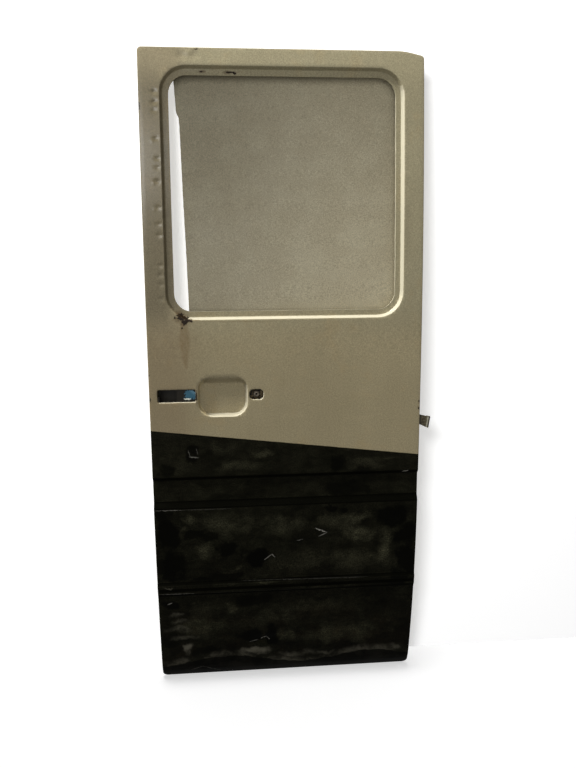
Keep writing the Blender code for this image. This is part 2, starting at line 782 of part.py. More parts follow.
def rail(name, z_middle, finish):
    """A hat-section rail from wall to wall: its flanges lie on the inner panel, its crown nearer the skin."""
    half = RAIL_CROWN / 2
    section = [
        (-half - RAIL_FLANK - RAIL_FLANGE, 0), (-half - RAIL_FLANK, 0), (-half, RAIL_HEIGHT),
        (half, RAIL_HEIGHT), (half + RAIL_FLANK, 0), (half + RAIL_FLANK + RAIL_FLANGE, 0),
    ]
    end = WALL_FACE - SHEET - FOLD_RADIUS - RAIL_END_GAP
    seat = CAVITY_BACK - GAP - SHEET
    bm = swept([(-end, seat - rise, z_middle + z) for z, rise in section], (2 * end, 0, 0))
    for v in bm.verts:
        v.co.y += face_y(v.co.z)
    face_front(bm)
    thicken(place(name, bm, finish))


def wall_plate(name, side, z_middle, height, thickness, finish, cutters):
    """A plate on the cavity side of a side wall. side is 1 for the hinge side and -1 for the latch side."""
    near = WALL_FACE - SHEET - GAP
    y = wall_depth(z_middle)
    low = (side * near, y - REINFORCEMENT_DEPTH / 2, z_middle - height / 2)
    high = (side * (near - thickness), y + REINFORCEMENT_DEPTH / 2, z_middle + height / 2)
    bm = block([min(a, b) for a, b in zip(low, high)], [max(a, b) for a, b in zip(low, high)])
    corners = [e for e in bm.edges if abs((e.verts[0].co - e.verts[1].co).x) > thickness / 2]
    bmesh.ops.bevel(bm, geom=corners, offset=0.005, segments=3, profile=0.5, affect="EDGES", material=-1)
    for v in bm.verts:
        v.co.y += face_y(v.co.z) - face_y(z_middle)
    piece = place(name, bm, finish)
    cut(piece, name + "_holes", joined(cutters))
    return piece


def hex_nut():
    """A hexagon nut on the X axis, its seat at x 0 and its top at -X, with its bore open."""
    bm = bmesh.new()
    steps = 12
    rings = []
    for radius, x in (("bore", 0), ("flats", 0), ("flats", -NUT_THICKNESS), ("bore", -NUT_THICKNESS)):
        ring = []
        for i in range(steps):
            angle = math.tau * i / steps
            off_flat = (angle + math.pi / 6) % (math.pi / 3) - math.pi / 6
            r = NUT_BORE / 2 if radius == "bore" else NUT_WIDTH / 2 / math.cos(off_flat)
            ring.append(bm.verts.new((x, r * math.cos(angle), r * math.sin(angle))))
        rings.append([bm.edges.new(pair) for pair in zip(ring, ring[1:] + ring[:1])])
    for a, b in zip(rings, rings[1:] + rings[:1]):
        bmesh.ops.bridge_loops(bm, edges=a + b)
    bmesh.ops.recalc_face_normals(bm, faces=bm.faces)
    return bm


def hinge_reinforcements(steel, zinc):
    reach = SHEET + GAP + HINGE_PLATE_THICKNESS
    inner = WALL_FACE - reach
    seats = []
    for name, z in HINGE_HEIGHTS.items():
        y = wall_depth(z)
        bolts = hinge_bolts(name)
        bores = [bar_along_x(inner - SHEET, WALL_FACE, y, bolt, HINGE_BOLT_HOLE / 2) for bolt in bolts]
        wall_plate(f"{name}_hinge_plate", 1, z, HINGE_PLATE_HEIGHT, HINGE_PLATE_THICKNESS, steel, bores)
        for i, bolt in enumerate(bolts, 1):
            seats.append((f"{name}_hinge_nut_{i}", (inner - GAP, y, bolt), (0, 0, 0)))
    copies(seats, hex_nut, zinc)


def latch_plate(steel):
    y = wall_depth(LATCH_HEIGHT)
    inner = WALL_FACE - SHEET - GAP - LATCH_PLATE_THICKNESS
    span = (-WALL_FACE, -inner + SHEET)
    cutters = [bar_along_x(*span, y, z, LATCH_SCREW_HOLE / 2, 8) for z in latch_screws()]
    cutters.append(
        block(
            (span[0], y - LATCH_MOUTH_DEPTH / 2, LATCH_HEIGHT - LATCH_MOUTH_HEIGHT / 2),
            (span[1], y + LATCH_MOUTH_DEPTH / 2, LATCH_HEIGHT + LATCH_MOUTH_HEIGHT / 2),
        )
    )
    wall_plate("latch_plate", -1, LATCH_HEIGHT, LATCH_PLATE_HEIGHT, LATCH_PLATE_THICKNESS, steel, cutters)


def stay_lug(rusty):
    """The lug for the door stay: a base screwed to the hinge side's wall, folded out into a sloping tongue
    that ends in a rolled eye. Drawn with the base in the XZ plane, then turned onto the wall."""
    half_base, half_tongue = STAY_BASE_HEIGHT / 2, STAY_TONGUE_HEIGHT / 2
    neck = STAY_THICKNESS
    outline = filleted(
        [
            (0, -half_tongue, 0, 0),
            (neck, -half_tongue, 0, 0),
            (neck, -half_base, STAY_CORNER_RADIUS, 3),
            (STAY_BASE_DEPTH, -half_base, STAY_CORNER_RADIUS, 3),
            (STAY_BASE_DEPTH, half_base, STAY_CORNER_RADIUS, 3),
            (neck, half_base, STAY_CORNER_RADIUS, 3),
            (neck, half_tongue, 0, 0),
            (0, half_tongue, 0, 0),
        ]
    )
    middle = STAY_BASE_DEPTH / 2
    holes = [
        circle(middle, side * STAY_SCREW_SPACING / 2, SCREW_SHANK_RADIUS + GAP, 8) for side in (-1, 1)
    ]
    bm = flat_sheet(outline, holes)
    root = [e for e in free_edges(bm) if all(v.co.x < GAP for v in e.verts)]
    base_x = WALL_FACE + GAP + STAY_THICKNESS
    eye_reach = STAY_EYE_RADIUS + STAY_THICKNESS
    length = WIDTH / 2 + STAY_REACH - base_x - STAY_BEND_RADIUS - eye_reach
    turns = [STAY_EYE_TURN * i / 8 for i in range(9)]
    roll = [
        (STAY_EYE_RADIUS * (math.cos(b) - math.cos(a)), -STAY_EYE_RADIUS * (math.sin(b) - math.sin(a)))
        for a, b in zip(turns, turns[1:])
    ]
    fold_edge(bm, root, quarter_bend(STAY_BEND_RADIUS, ((1, 0), (0, -1))) + [(0, -length)] + roll)
    for v in bm.verts:
        v.co.z -= math.tan(STAY_DROOP) * max(0, -v.co.y - STAY_BEND_RADIUS)
    face_front(bm)
    seat = (base_x, wall_depth(STAY_HEIGHT) - middle, STAY_HEIGHT)
    lug = place("stay_lug", bm, rusty, seat, (0, 0, math.pi / 2))
    thicken(lug, STAY_THICKNESS)


def stay_screws_in_place(zinc):
    x = WALL_FACE + GAP + STAY_THICKNESS + GAP
    turn = (0, 0, -math.pi / 2)
    y = wall_depth(STAY_HEIGHT)
    seats = [(f"stay_screw_{i}", (x, y, z), turn) for i, z in enumerate(stay_screws(), 1)]
    copies(seats, pan_screw, zinc)


def handle_bracket(zinc):
    """A joggled strap behind the skin: one pad on the slot's lip, the other behind the pocket's floor."""
    slot_pad = SLOT_LIP + GAP
    floor_pad = POCKET_DEPTH + SHEET + GAP
    joggle = SLOT_RIGHT + BRACKET_JOGGLE_CLEARANCE
    plan = [
        (BRACKET_LEFT, slot_pad),
        (joggle, slot_pad),
        (joggle + BRACKET_JOGGLE_CLEARANCE, floor_pad),
        (FIXING_RIGHT, floor_pad),
    ]
    bottom = HANDLE_HEIGHT - BRACKET_HEIGHT / 2
    bm = swept([(x, y, bottom) for x, y in plan], (0, 0, BRACKET_HEIGHT))
    for v in bm.verts:
        v.co.y += face_y(v.co.z)
    face_front(bm)
    thicken(place("handle_bracket", bm, zinc), BRACKET_THICKNESS)


def handle_nut(dark_steel):
    """The round weld nut that shows in the fixing hole."""
    seat = POCKET_DEPTH + SHEET + face_y(HANDLE_HEIGHT)
    shoulder = HANDLE_NUT_HEIGHT * 0.2
    profile = [
        (HANDLE_NUT_BORE / 2, 0),
        (HANDLE_NUT_RADIUS, 0),
        (HANDLE_NUT_RADIUS, -HANDLE_NUT_HEIGHT + shoulder),
        (HANDLE_NUT_RADIUS - shoulder, -HANDLE_NUT_HEIGHT),
        (HANDLE_NUT_BORE / 2, -HANDLE_NUT_HEIGHT),
    ]
    place("handle_nut", turned(profile, 16, closed=True), dark_steel, (HANDLE_NUT_X, seat, HANDLE_HEIGHT))


def main():
    for leftover in list(bpy.data.objects):
        bpy.data.objects.remove(leftover, do_unlink=True)
    hinge_frame = bpy.data.objects.new("hinge_frame", None)
    hinge_frame.location = (-WALL_FACE, -wall_depth(HINGE_HEIGHTS["lower"]), -HINGE_HEIGHTS["lower"])
    bpy.context.scene.collection.objects.link(hinge_frame)

    beige_and_black = material("two_tone_paint", (0.32, 0.29, 0.20), 0.0, 0.45)
    beige = material("beige_paint", (0.30, 0.27, 0.19), 0.0, 0.5)
    blank_beige = material("blanking_paint", (0.24, 0.21, 0.14), 0.0, 0.55)
    pressed_steel = material("pressed_steel", (0.22, 0.20, 0.17), 0.6, 0.55)
    zinc = material("zinc_plate", (0.42, 0.46, 0.50), 0.9, 0.4)
    rusty = material("rusty_steel", (0.10, 0.06, 0.035), 0.4, 0.7)
    dark_steel = material("dark_steel", (0.16, 0.14, 0.12), 0.6, 0.6)

    outer_skin(beige_and_black)
    inner_panel(beige)
    blanking_sheet(blank_beige)
    blanking_screws(zinc)
    rail("waist_rail", WAIST_RAIL_HEIGHT, pressed_steel)
    rail("lower_rail", LOWER_RAIL_HEIGHT, pressed_steel)
    hinge_reinforcements(pressed_steel, zinc)
    latch_plate(pressed_steel)
    stay_lug(rusty)
    stay_screws_in_place(zinc)
    handle_bracket(zinc)
    handle_nut(dark_steel)


main()
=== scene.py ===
# A van's cargo door, seen from its outside: two-tone paint over pressed steel, window blanked from behind.
import math

import bmesh
import bpy
from mathutils import Matrix, Vector, noise


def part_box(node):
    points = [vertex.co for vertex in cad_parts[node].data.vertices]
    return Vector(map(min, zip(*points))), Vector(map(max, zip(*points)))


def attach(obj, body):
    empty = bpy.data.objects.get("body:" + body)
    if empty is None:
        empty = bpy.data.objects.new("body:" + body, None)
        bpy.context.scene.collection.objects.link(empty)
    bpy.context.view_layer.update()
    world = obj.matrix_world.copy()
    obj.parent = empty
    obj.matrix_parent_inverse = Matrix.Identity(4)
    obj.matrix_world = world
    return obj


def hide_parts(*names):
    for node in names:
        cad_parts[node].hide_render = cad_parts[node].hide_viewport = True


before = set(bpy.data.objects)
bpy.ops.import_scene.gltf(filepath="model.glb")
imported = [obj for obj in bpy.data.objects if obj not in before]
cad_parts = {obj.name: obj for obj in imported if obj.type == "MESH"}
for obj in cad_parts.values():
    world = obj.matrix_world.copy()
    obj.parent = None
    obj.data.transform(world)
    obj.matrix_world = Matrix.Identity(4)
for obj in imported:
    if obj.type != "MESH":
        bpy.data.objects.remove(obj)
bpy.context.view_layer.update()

# Door places below are in metres from the middle of the bottom edge: x to the right, z up, y into the van.
skinLow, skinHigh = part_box("outer_skin")
doorZero = Vector(((skinLow.x + skinHigh.x) / 2, skinLow.y, skinLow.z))


def atDoor(x, y, z):
    return doorZero + Vector((x, y, z))


# Camera and light

cameraSetup = {
    "place": (-0.13662, -1.54784, 1.00731),
    "pan": 5.128,  # degrees towards the hinge side
    "tilt": -10.389,
    "roll": -0.376,
    "lens": 33.716,
    "sensor": 36.0,
}
# Each lamp: place, height aimed at over the door's zero, size, watts, what it lights
lampSetup = {
    # the raking light shows each dent; the drop light throws the door's soft shadow on the paper
    "rake": ((-3.12, -0.62, 6.0), 0.9, 2.2, 1150.0, "door"),
    "front": ((-0.85, -2.3, 1.85), 0.75, 0.7, 26.0, "door"),
    "back": ((0.6, 2.4, 2.0), 0.7, 2.0, 70.0, "body"),
    "panel": ((-0.4, -2.0, 1.28), 1.1, 1.7, 42.0, "blank"),
    "drop": ((-0.85, -2.3, 1.85), 0.75, 0.8, 62.0, "wallRight"),
    "slit": ((-0.65, -2.4, 1.85), 0.75, 0.8, 62.0, "wallLeft"),
    # a sun, nearly straight down on the floor: width in degrees, strength in watts per square metre
    "below": ((-0.05, -0.075, 1.0), 0.0, 12.0, 1.25, "floor"),
}
stageSetup = {
    "wallBehind": 0.13,
    "floorBelow": 0.001,
    "size": 12.0,
    "paper": (0.8, 0.8, 0.8),
    "glow": {"floor": 0.545, "wallLeft": 0.48, "wallRight": 0.48},
    "worldStrength": 0.3,
}


def addObject(name, data):
    added = bpy.data.objects.new(name, data)
    bpy.context.scene.collection.objects.link(added)
    return added


def turned(degrees, axis):
    return Matrix.Rotation(math.radians(degrees), 4, axis)


def makeCamera():
    data = bpy.data.cameras.new("camera")
    data.lens = cameraSetup["lens"]
    data.sensor_width = cameraSetup["sensor"]
    data.clip_end = 60
    camera = addObject("camera", data)
    place = Matrix.Translation(atDoor(*cameraSetup["place"])) @ turned(-cameraSetup["pan"], "Z")
    camera.matrix_world = place @ turned(90 + cameraSetup["tilt"], "X") @ turned(cameraSetup["roll"], "Z")
    bpy.context.scene.camera = camera


def linkSet(name, members, state):
    group = bpy.data.collections.new(name)
    for member in members:
        group.objects.link(member)
    for member in group.collection_objects:
        member.light_linking.link_state = state
    return group


def makeLamps(papers, blank):
    # what each lamp lights, by members let in or kept out; both walls' lamps shine through the blanking sheet
    floor, wallLeft, wallRight = papers
    groups = {
        "door": ([*papers, blank], "EXCLUDE"), "body": (papers, "EXCLUDE"), "blank": ([blank], "INCLUDE"),
        "floor": ([floor], "INCLUDE"), "wallLeft": ([wallLeft], "INCLUDE"), "wallRight": ([wallRight], "INCLUDE"),
    }
    receivers = {name: linkSet(name + "Lit", *group) for name, group in groups.items()}
    for name, (place, aimHeight, size, watts, lights) in lampSetup.items():
        isSun = lights == "floor"
        data = bpy.data.lights.new(name, "SUN" if isSun else "AREA")
        data.energy = watts
        if isSun:
            data.angle = math.radians(size)
        else:
            data.shape = "DISK"
            data.size = size
        light = addObject(name, data)
        light.location = atDoor(*place)
        aim = atDoor(0.0, 0.0, aimHeight) - light.location
        light.rotation_euler = aim.to_track_quat("-Z", "Y").to_euler()
        light.light_linking.receiver_collection = receivers[lights]
        if lights.startswith("wall"):
            light.light_linking.blocker_collection = linkSet(name + "Passes", [blank], "EXCLUDE")


def seenRays(w):
    # 1 for the rays of the camera, of mirrors and of glass
    rays = w.make("LightPath").outputs
    return w.most(rays["Is Camera Ray"], rays["Is Transmission Ray"], rays["Is Glossy Ray"])


def makeWorld():
    # those rays see white; a weaker light falls on everything
    world = bpy.data.worlds.new("studio")
    bpy.context.scene.world = world
    world.use_nodes = True
    w = Wiring(world.node_tree)
    w.nodes.clear()
    light = w.make("Background", {"Strength": stageSetup["worldStrength"]})
    seen = w.make("Background", {"Color": (1, 1, 1)})
    mix = w.make("MixShader", {0: seenRays(w), 1: light.outputs[0], 2: seen.outputs[0]})
    w.make("OutputWorld", {"Surface": mix.outputs[0]})


def paperFinish(name, glowLevel):
    # matte paper that glows for the same rays and can't be seen from behind
    paper = bpy.data.materials.new(name)
    paper.use_nodes = True
    w = Wiring(paper.node_tree)
    w.nodes.clear()
    matte = w.make("BsdfDiffuse", {"Color": stageSetup["paper"]})
    glow = w.make("Emission", {"Strength": w.times(seenRays(w), glowLevel)})
    both = w.make("AddShader", {0: matte.outputs[0], 1: glow.outputs[0]})
    behind = w.make("NewGeometry").outputs["Backfacing"]
    mix = w.make("MixShader", {0: behind, 1: both.outputs[0], 2: w.make("BsdfTransparent").outputs[0]})
    w.make("OutputMaterial", {"Surface": mix.outputs[0]})
    return paper


def makeStage():
    # a floor all round and two sheets behind the door, which show from the front only and meet behind it
    half, back, low = stageSetup["size"] / 2, stageSetup["wallBehind"], -stageSetup["floorBelow"]
    upright = turned(90, "X")
    turns = {
        "floor": (Matrix.Identity(4), (0, 0, low)),
        "wallLeft": (upright, (-half, back, low + half)),
        "wallRight": (upright, (half, back, low + half)),
    }
    sheets = []
    for name, (turn, place) in turns.items():
        bm = bmesh.new()
        matrix = Matrix.Translation(atDoor(*place)) @ turn
        bmesh.ops.create_grid(bm, x_segments=1, y_segments=1, size=half, matrix=matrix)
        sheet = finishPiece(name, bm, paperFinish(name + "Paper", stageSetup["glow"][name]))
        sheet.visible_diffuse = False
        sheet.visible_shadow = name == "floor"
        sheets.append(sheet)
    return sheets


def finishPiece(name, bm, finish, sharp=None):
    data = bpy.data.meshes.new(name)
    bm.to_mesh(data)
    bm.free()
    data.materials.append(finish)
    piece = addObject(name, data)
    if sharp is not None:
        data.shade_smooth()
        data.set_sharp_from_angle(angle=math.radians(sharp))
        weigh = piece.modifiers.new("faces count by their size", "WEIGHTED_NORMAL")
        weigh.keep_sharp = True
    return piece


# Shader helpers: each effect that several finishes share is one node group

acrossAndUp = (1, 0, 1)


def newGroup(name, inputs, outputs):
    # a node group with its wiring, the values it is given and the sockets it fills
    group = bpy.data.node_groups.new(name, "ShaderNodeTree")
    for label, value in inputs.items():
        kind = "NodeSocketFloat" if isinstance(value, float) else "NodeSocketVector"
        group.interface.new_socket(label, in_out="INPUT", socket_type=kind).default_value = value
    for label in outputs:
        group.interface.new_socket(label, in_out="OUTPUT", socket_type="NodeSocketFloat")
    w = Wiring(group)
    return group, w, w.nodes.new("NodeGroupInput").outputs, w.nodes.new("NodeGroupOutput").inputs


class Wiring:
    # a short way to write node trees: most calls make a node and return its output
    def __init__(self, tree):
        self.nodes, self.links = tree.nodes, tree.links

    def make(self, kind, inputs=(), **settings):
        # inputs: the socket's name or number, and its value or the output that feeds it
        node = self.nodes.new("ShaderNode" + kind)
        for name, value in settings.items():
            setattr(node, name, value)
        for socket, value in dict(inputs).items():
            self.feed(node.inputs[socket], value)
        return node

    def feed(self, socket, value):
        if hasattr(value, "is_linked"):
            self.links.new(value, socket)
        elif socket.type == "RGBA" and len(value) == 3:
            socket.default_value = (*value, 1)
        else:
            socket.default_value = value

    def math(self, operation, *values, clamp=False):
        return self.make("Math", enumerate(values), operation=operation, use_clamp=clamp).outputs[0]

    def row(self, operation, total, *values):
        for value in values:
            total = self.math(operation, total, value)
        return total

    def times(self, *values):
        return self.row("MULTIPLY", *values)

    def plus(self, *values):
        return self.row("ADD", *values)

    def most(self, *values):
        return self.row("MAXIMUM", *values)

    def less(self, a, b):
        return self.math("SUBTRACT", a, b)

    def timesPlus(self, a, b, c):
        return self.math("MULTIPLY_ADD", a, b, c)

    def bend(self, value, wander, size):
        # a noise moves the value to and fro by up to half the size
        return self.timesPlus(self.less(wander, 0.5), size, value)

    def vector(self, operation, *values):
        node = self.make("VectorMath", enumerate(values), operation=operation)
        return node.outputs["Value" if operation in ("LENGTH", "DOT_PRODUCT", "DISTANCE") else "Vector"]

    def ramp(self, value, low, high, toLow=0.0, toHigh=1.0, kind="SMOOTHSTEP"):
        inputs = {"Value": value, "From Min": low, "From Max": high, "To Min": toLow, "To Max": toHigh}
        return self.make("MapRange", inputs, interpolation_type=kind).outputs[0]

    def swing(self, wander, size):
        # a noise as a level round 1
        return self.ramp(wander, 0.3, 0.7, 1 - size, 1 + size, "LINEAR")

    def noise(self, place, scale, detail=3.0, rough=0.55, stretch=None, output="Fac"):
        if stretch:
            place = self.vector("MULTIPLY", place, stretch)
        inputs = {"Vector": place, "Scale": scale, "Detail": detail, "Roughness": rough}
        return self.make("TexNoise", inputs).outputs[output]

    def wander(self, place, scale):
        # a vector noise round zero
        return self.vector("SUBTRACT", self.noise(place, scale, 7.0, 0.62, output="Color"), (0.5, 0.5, 0.5))

    def mix(self, share, a, b, kind="MIX"):
        # the Mix node's colours go in at 6 and 7 and out at 2, its numbers in at 2 and 3 and out at 0
        settings = {"data_type": "RGBA", "blend_type": kind, "clamp_factor": True}
        return self.make("Mix", {0: share, 6: a, 7: b}, **settings).outputs[2]

    def blend(self, share, a, b):
        return self.make("Mix", {0: share, 2: a, 3: b}, data_type="FLOAT").outputs[0]

    def spread(self, value):
        return self.make("CombineXYZ", enumerate([value] * 3)).outputs[0]

    def tint(self, colour, level):
        # the colour times a level or times another colour
        return self.mix(1.0, colour, level if isinstance(level, tuple) else self.spread(level), "MULTIPLY")

    def parts(self, place):
        return self.make("SeparateXYZ", {0: place}).outputs

    def bump(self, height, depth):
        return self.make("Bump", {"Distance": depth, "Height": height}).outputs[0]

    def group(self, tree, **values):
        return self.make("Group", values, node_tree=tree).outputs

    def dress(self, values):
        for label, value in values.items():
            self.feed(self.nodes["Principled BSDF"].inputs[label], value)


def makePatchGroup():
    # a soft spot with a ragged edge, round a centre; 1 inside, 0 outside
    inputs = {
        "Place": (0, 0, 0), "Centre": (0, 0, 0), "Radius": (0.01, 1.0, 0.01),
        "Wander": 0.5, "Ragged": 0.35, "Edge": 0.35,
    }
    group, w, given, out = newGroup("raggedPatch", inputs, ["Mask"])
    away = w.vector("DIVIDE", w.vector("SUBTRACT", given["Place"], given["Centre"]), given["Radius"])
    reach = w.vector("LENGTH", w.vector("MULTIPLY", away, acrossAndUp))
    bent = w.bend(reach, given["Wander"], w.times(given["Ragged"], 4.0))
    w.links.new(w.ramp(bent, 1.0, w.less(1.0, given["Edge"])), out["Mask"])
    return group


def makeScratchGroup():
    # a thin line between two points of the face, thinner towards its ends
    inputs = {
        "Place": (0, 0, 0), "Start": (0, 0, 0), "End": (0, 0, 0),
        "Width": 0.001, "Wander": 0.5, "Wobble": 0.002,
    }
    group, w, given, out = newGroup("scratchLine", inputs, ["Mask"])
    jitter = w.times(w.less(given["Wander"], 0.5), given["Wobble"])
    place = w.vector("MULTIPLY", w.vector("ADD", given["Place"], w.spread(jitter)), acrossAndUp)
    along = w.vector("SUBTRACT", given["End"], given["Start"])
    away = w.vector("SUBTRACT", place, given["Start"])
    dots = [w.vector("DOT_PRODUCT", one, along) for one in (away, along)]
    share = w.math("DIVIDE", *dots, clamp=True)
    foot = w.vector("ADD", given["Start"], w.vector("MULTIPLY", along, w.spread(share)))
    fade = w.math("MULTIPLY", w.times(share, w.less(1.0, share)), 4.0, clamp=True)
    width = w.times(given["Width"], w.plus(0.4, fade))
    w.links.new(w.ramp(w.vector("DISTANCE", place, foot), width, w.times(width, 0.3)), out["Mask"])
    return group


def makeGrainGroup():
    # what every paint here shares: dust specks, slow clouds, orange peel, and three noises that bend edges
    noises = {
        "Speck": (430.0, 2.0, 0.75), "Cloud": (7.0, 5.0, 0.6), "Peel": (330.0, 3.0, 0.6),
        "Wander": (38.0, 4.0, 0.6), "Fray": (210.0, 3.0, 0.6), "Drift": (15.0, 7.0, 0.68),
    }
    group, w, given, out = newGroup("paintGrain", {"Place": (0, 0, 0)}, noises)
    for label, values in noises.items():
        w.links.new(w.noise(given["Place"], *values), out[label])
    return group


patchGroup = makePatchGroup()
scratchGroup = makeScratchGroup()
grainGroup = makeGrainGroup()


def newFinish(name):
    # a material, its wiring, the door's own coordinates and the way each point faces (y: the cargo side)
    made = bpy.data.materials.new(name)
    made.use_nodes = True
    w = Wiring(made.node_tree)
    coordinates = w.make("TexCoord").outputs
    place = w.make("Mapping", {"Vector": coordinates["Object"], "Location": -doorZero})
    return made, w, place.outputs[0], w.parts(coordinates["Normal"])


def readPlace(w, place):
    x, _, z = w.parts(place)
    return x, z, w.group(grainGroup, Place=place)


beige = {
    "clean": (0.232, 0.206, 0.128),
    "shade": (0.218, 0.192, 0.118),
    "warm": (0.24, 0.198, 0.112),
    "speck": 0.2,
    "mottle": 0.08,
    "rough": 0.42,
    "coat": 0.28,
    "rust": (0.012, 0.007, 0.003),
    "rustEdge": (0.07, 0.04, 0.016),
    "rustRun": (0.12, 0.078, 0.034),
    "bare": (0.02, 0.016, 0.012),
    # painted shade inside the door, on the skin's rear
    "cavity": (0.07, 0.06, 0.04),
    "cavityShade": (0.042, 0.036, 0.024),
    # painted highlight on the ledges that face the light
    "ledge": 0.55,
    "pale": (0.455, 0.425, 0.33),
    # painted highlight along the aperture's edge
    "worn": (0.48, 0.44, 0.32),
    "low": (1.01, 0.965, 0.92),
    "latchSide": (0.945, 0.9, 0.89),
    "scuff": 1.07,
    "bounce": 0.8,
    "halo": 0.6,
    "streaks": (45, 45, 6),
}
# The face's own edges, across from the middle and up: where the painted highlight on the ledges ends, and where
# the hems begin
faceEdge = {"dusty": (0.2925, 0.291), "hem": (0.292, 0.2905), "top": (1.413, 1.411), "rows": (0.0095, 1.4135)}
# The window's aperture in the skin: its reach is half its width and half its height, without the corners
aperture = {"middle": 1.127, "reach": (0.2015, 0.205), "radius": 0.038, "wear": 0.0017}
# The paint's dividing line, from the latch side's edge to the hinge side's
twoTone = {"latchHeight": 0.6248, "hingeHeight": 0.5537, "halfWidth": 0.299, "soft": 0.0006, "bend": 0.0016}
# Painted light and shade on the beige, across and up: x from, x to, levels; the strip beside the window; the
# pocket's floor, lit up in place of its shade; the pocket's wall, lit as by light from its floor
shading = {
    "across": (-0.3, -0.11, 0.84, 1.0),
    "right": (0.0, 0.27, 1.0, 1.1),
    "rightTop": (0.78, 0.86),
    "up": (1.33, 1.4, 1.0, 1.12),
    "strip": (-0.243, -0.262, 0.68),
    "stripFoot": (0.83, 0.9),
    "stripTop": (1.412, 1.33),
    "stripBend": 0.024,
    "pocketFloor": ((-0.19, -0.092, 0.005), (0.659, 0.728, 0.005)),
    "pocketWall": ((-0.2, -0.178, 0.002), (0.65, 0.74, 0.006)),
    "pocket": 1.18,
}

# Spots and strokes are listed in millimetres.
# Rust and chips on the beige: place (x, z), radius (x, z), ragged
rustSpots = [
    (-223.6, 869.5, 15, 6, 0.7), (-227, 874, 8, 8, 0.7), (-213, 864.5, 11, 4, 0.8), (-220, 861, 6, 6, 0.8),
    (-170, 1376.8, 5.2, 1.5, 0.5), (-109, 1376.2, 12.5, 1.8, 0.6), (-101, 1374.5, 5, 2.4, 0.6),
    (-198.5, 701, 2.2, 12, 0.6), (-225, 848, 2, 2, 0.8), (297, 677, 1.8, 3.2, 0.6),
    (-180, 1419, 3.5, 1.5, 0.8), (296.8, 661, 1.7, 2.6, 0.6),
]
# Paler scuffs: place, radius, strength
scuffs = [
    (17, 652, 41, 11, 0.8), (157, 642, 35, 11, 1), (167, 701, 18, 23, 0.7), (36, 748, 23, 16, 0.6),
    (-123, 796, 32, 14, 0.5), (95, 796, 28, 18, 0.5),
]
# Run marks: start, end, width, strength
rustRuns = [
    (-223.6, 866, -218, 762, 9, 0.48), (-215, 866, -211, 806, 4, 0.3), (-223.6, 874, -245, 866, 3, 0.3),
    (-215, 868, -185, 864, 2.2, 0.55), (-190, 862, -20, 860, 1, 0.45),
]

black = {
    "clean": (0.001, 0.001, 0.0005),
    "dust": (0.047, 0.045, 0.0265),
    "silt": (0.09, 0.083, 0.062),
    "mud": (0.043, 0.035, 0.02),
    "mudRise": (0.24, 0.1),
    "film": 0.097,
    "stray": (0.08, 0.0, 0.055),
    "filmSwing": 0.4,
    "dusty": 0.8,
    "rough": 0.3,
    "dustRough": 0.6,
    "coat": 0.003,
    "scratch": (0.24, 0.23, 0.2),
}
# Where the black's dusty film is thicker: place (x, z), radius (x, z), level
dusty = [
    (-106, 538, 67, 16.2, 0.34), (-50, 567, 37, 9.2, 0.3), (188, 534, 58, 15.3, 0.29),
    (234, 548, 35, 8.2, 0.18), (-211, 563, 12, 5.7, 0.42), (-221, 417, 26, 16.8, 0.42),
    (-238, 396, 14, 9.7, 0.42), (-137, 404, 79, 34, 0.39), (-7, 396, 80, 29.5, 0.3),
    (161, 410, 47, 16, 0.55), (161, 364, 47, 27.7, 0.72), (227, 342, 30, 46.1, 0.52),
    (109, 397, 58, 27.1, 0.42), (-190, 333, 25, 28.8, 0.42), (-119, 298, 14, 10.2, 0.42),
    (-285, 284, 10, 14, 0.42), (-77, 260, 117, 6.5, 0.34), (88, 239, 119, 6.7, 0.24),
    (-222, 208, 20, 6, 0.5), (-133, 189, 16, 9.5, 0.46), (139, 104, 154, 33.9, 0.44),
    (-72, 152, 149, 28.1, 0.22), (77, 178, 133, 27.8, 0.29), (28, 307, 94, 38.7, 0.2),
    (151, 301, 77, 41.7, 0.3), (-150, 583, 61, 19.5, 0.22), (-6, 107, 23, 17.4, 0.42),
    (-213, 147, 70, 45.1, 0.34), (-233, 563, 60, 28.7, 0.12), (-152, 485, 135, 19.9, 0.12),
    (228, 310, 42, 32.5, 0.25), (-194, 187, 76, 27.3, 0.2),
]
# Pale patches: silt left by water, and painted highlights on the ripples low on the latch side and along the
# bottom's wavy line
silty = [
    (-243, 77, 16, 16.1, 1), (-252, 172, 35, 10.9, 0.5), (-247, 153, 35, 7.6, 0.42),
    (-257, 136, 37, 9.8, 0.46), (-249, 113, 35, 7.8, 0.34), (-84, 67, 40, 11.9, 0.85),
    (19, 49, 51, 9.8, 0.62), (265, 55, 21, 12.2, 0.55), (92, 52, 41, 8.3, 0.48), (-278, 245, 17, 3.3, 0.5),
]
# Where the film is gone, with a clear edge: place (x, z), radius (x, z), how clean
wiped = [
    (-213, 569, 21, 22.9, 0.85), (110, 540, 29, 28.2, 0.85), (-269, 531, 22, 17.3, 0.8),
    (142, 473, 58, 21.5, 0.7), (94, 429, 21, 10.9, 0.9), (131, 429, 19, 9.7, 0.85),
    (248, 406, 50, 26, 0.95), (276, 365, 30, 44.4, 0.95), (282, 294, 22, 52.9, 0.9),
    (257, 250, 28, 24.2, 0.85), (-276, 422, 20, 21.5, 0.8), (-269, 383, 29, 42.8, 0.95),
    (-269, 309, 33, 38, 0.9), (-216, 380, 28, 12.2, 0.85), (-183, 370, 25, 11, 0.8),
    (-141, 340, 31, 21.3, 0.9), (-76, 318, 38, 30.5, 1), (-134, 276, 52, 15.5, 0.8),
    (-197, 264, 34, 10.4, 0.8), (-77, 208, 53, 16.2, 0.7), (-268, 204, 25, 22.8, 0.9),
    (-87, 113, 39, 21.6, 0.95), (-39, 112, 18, 30.4, 0.95), (-265, 283, 27, 19.2, 0.8),
    (-273, 95, 16, 11.5, 0.6), (-192, 71, 42, 14.7, 0.7),
]
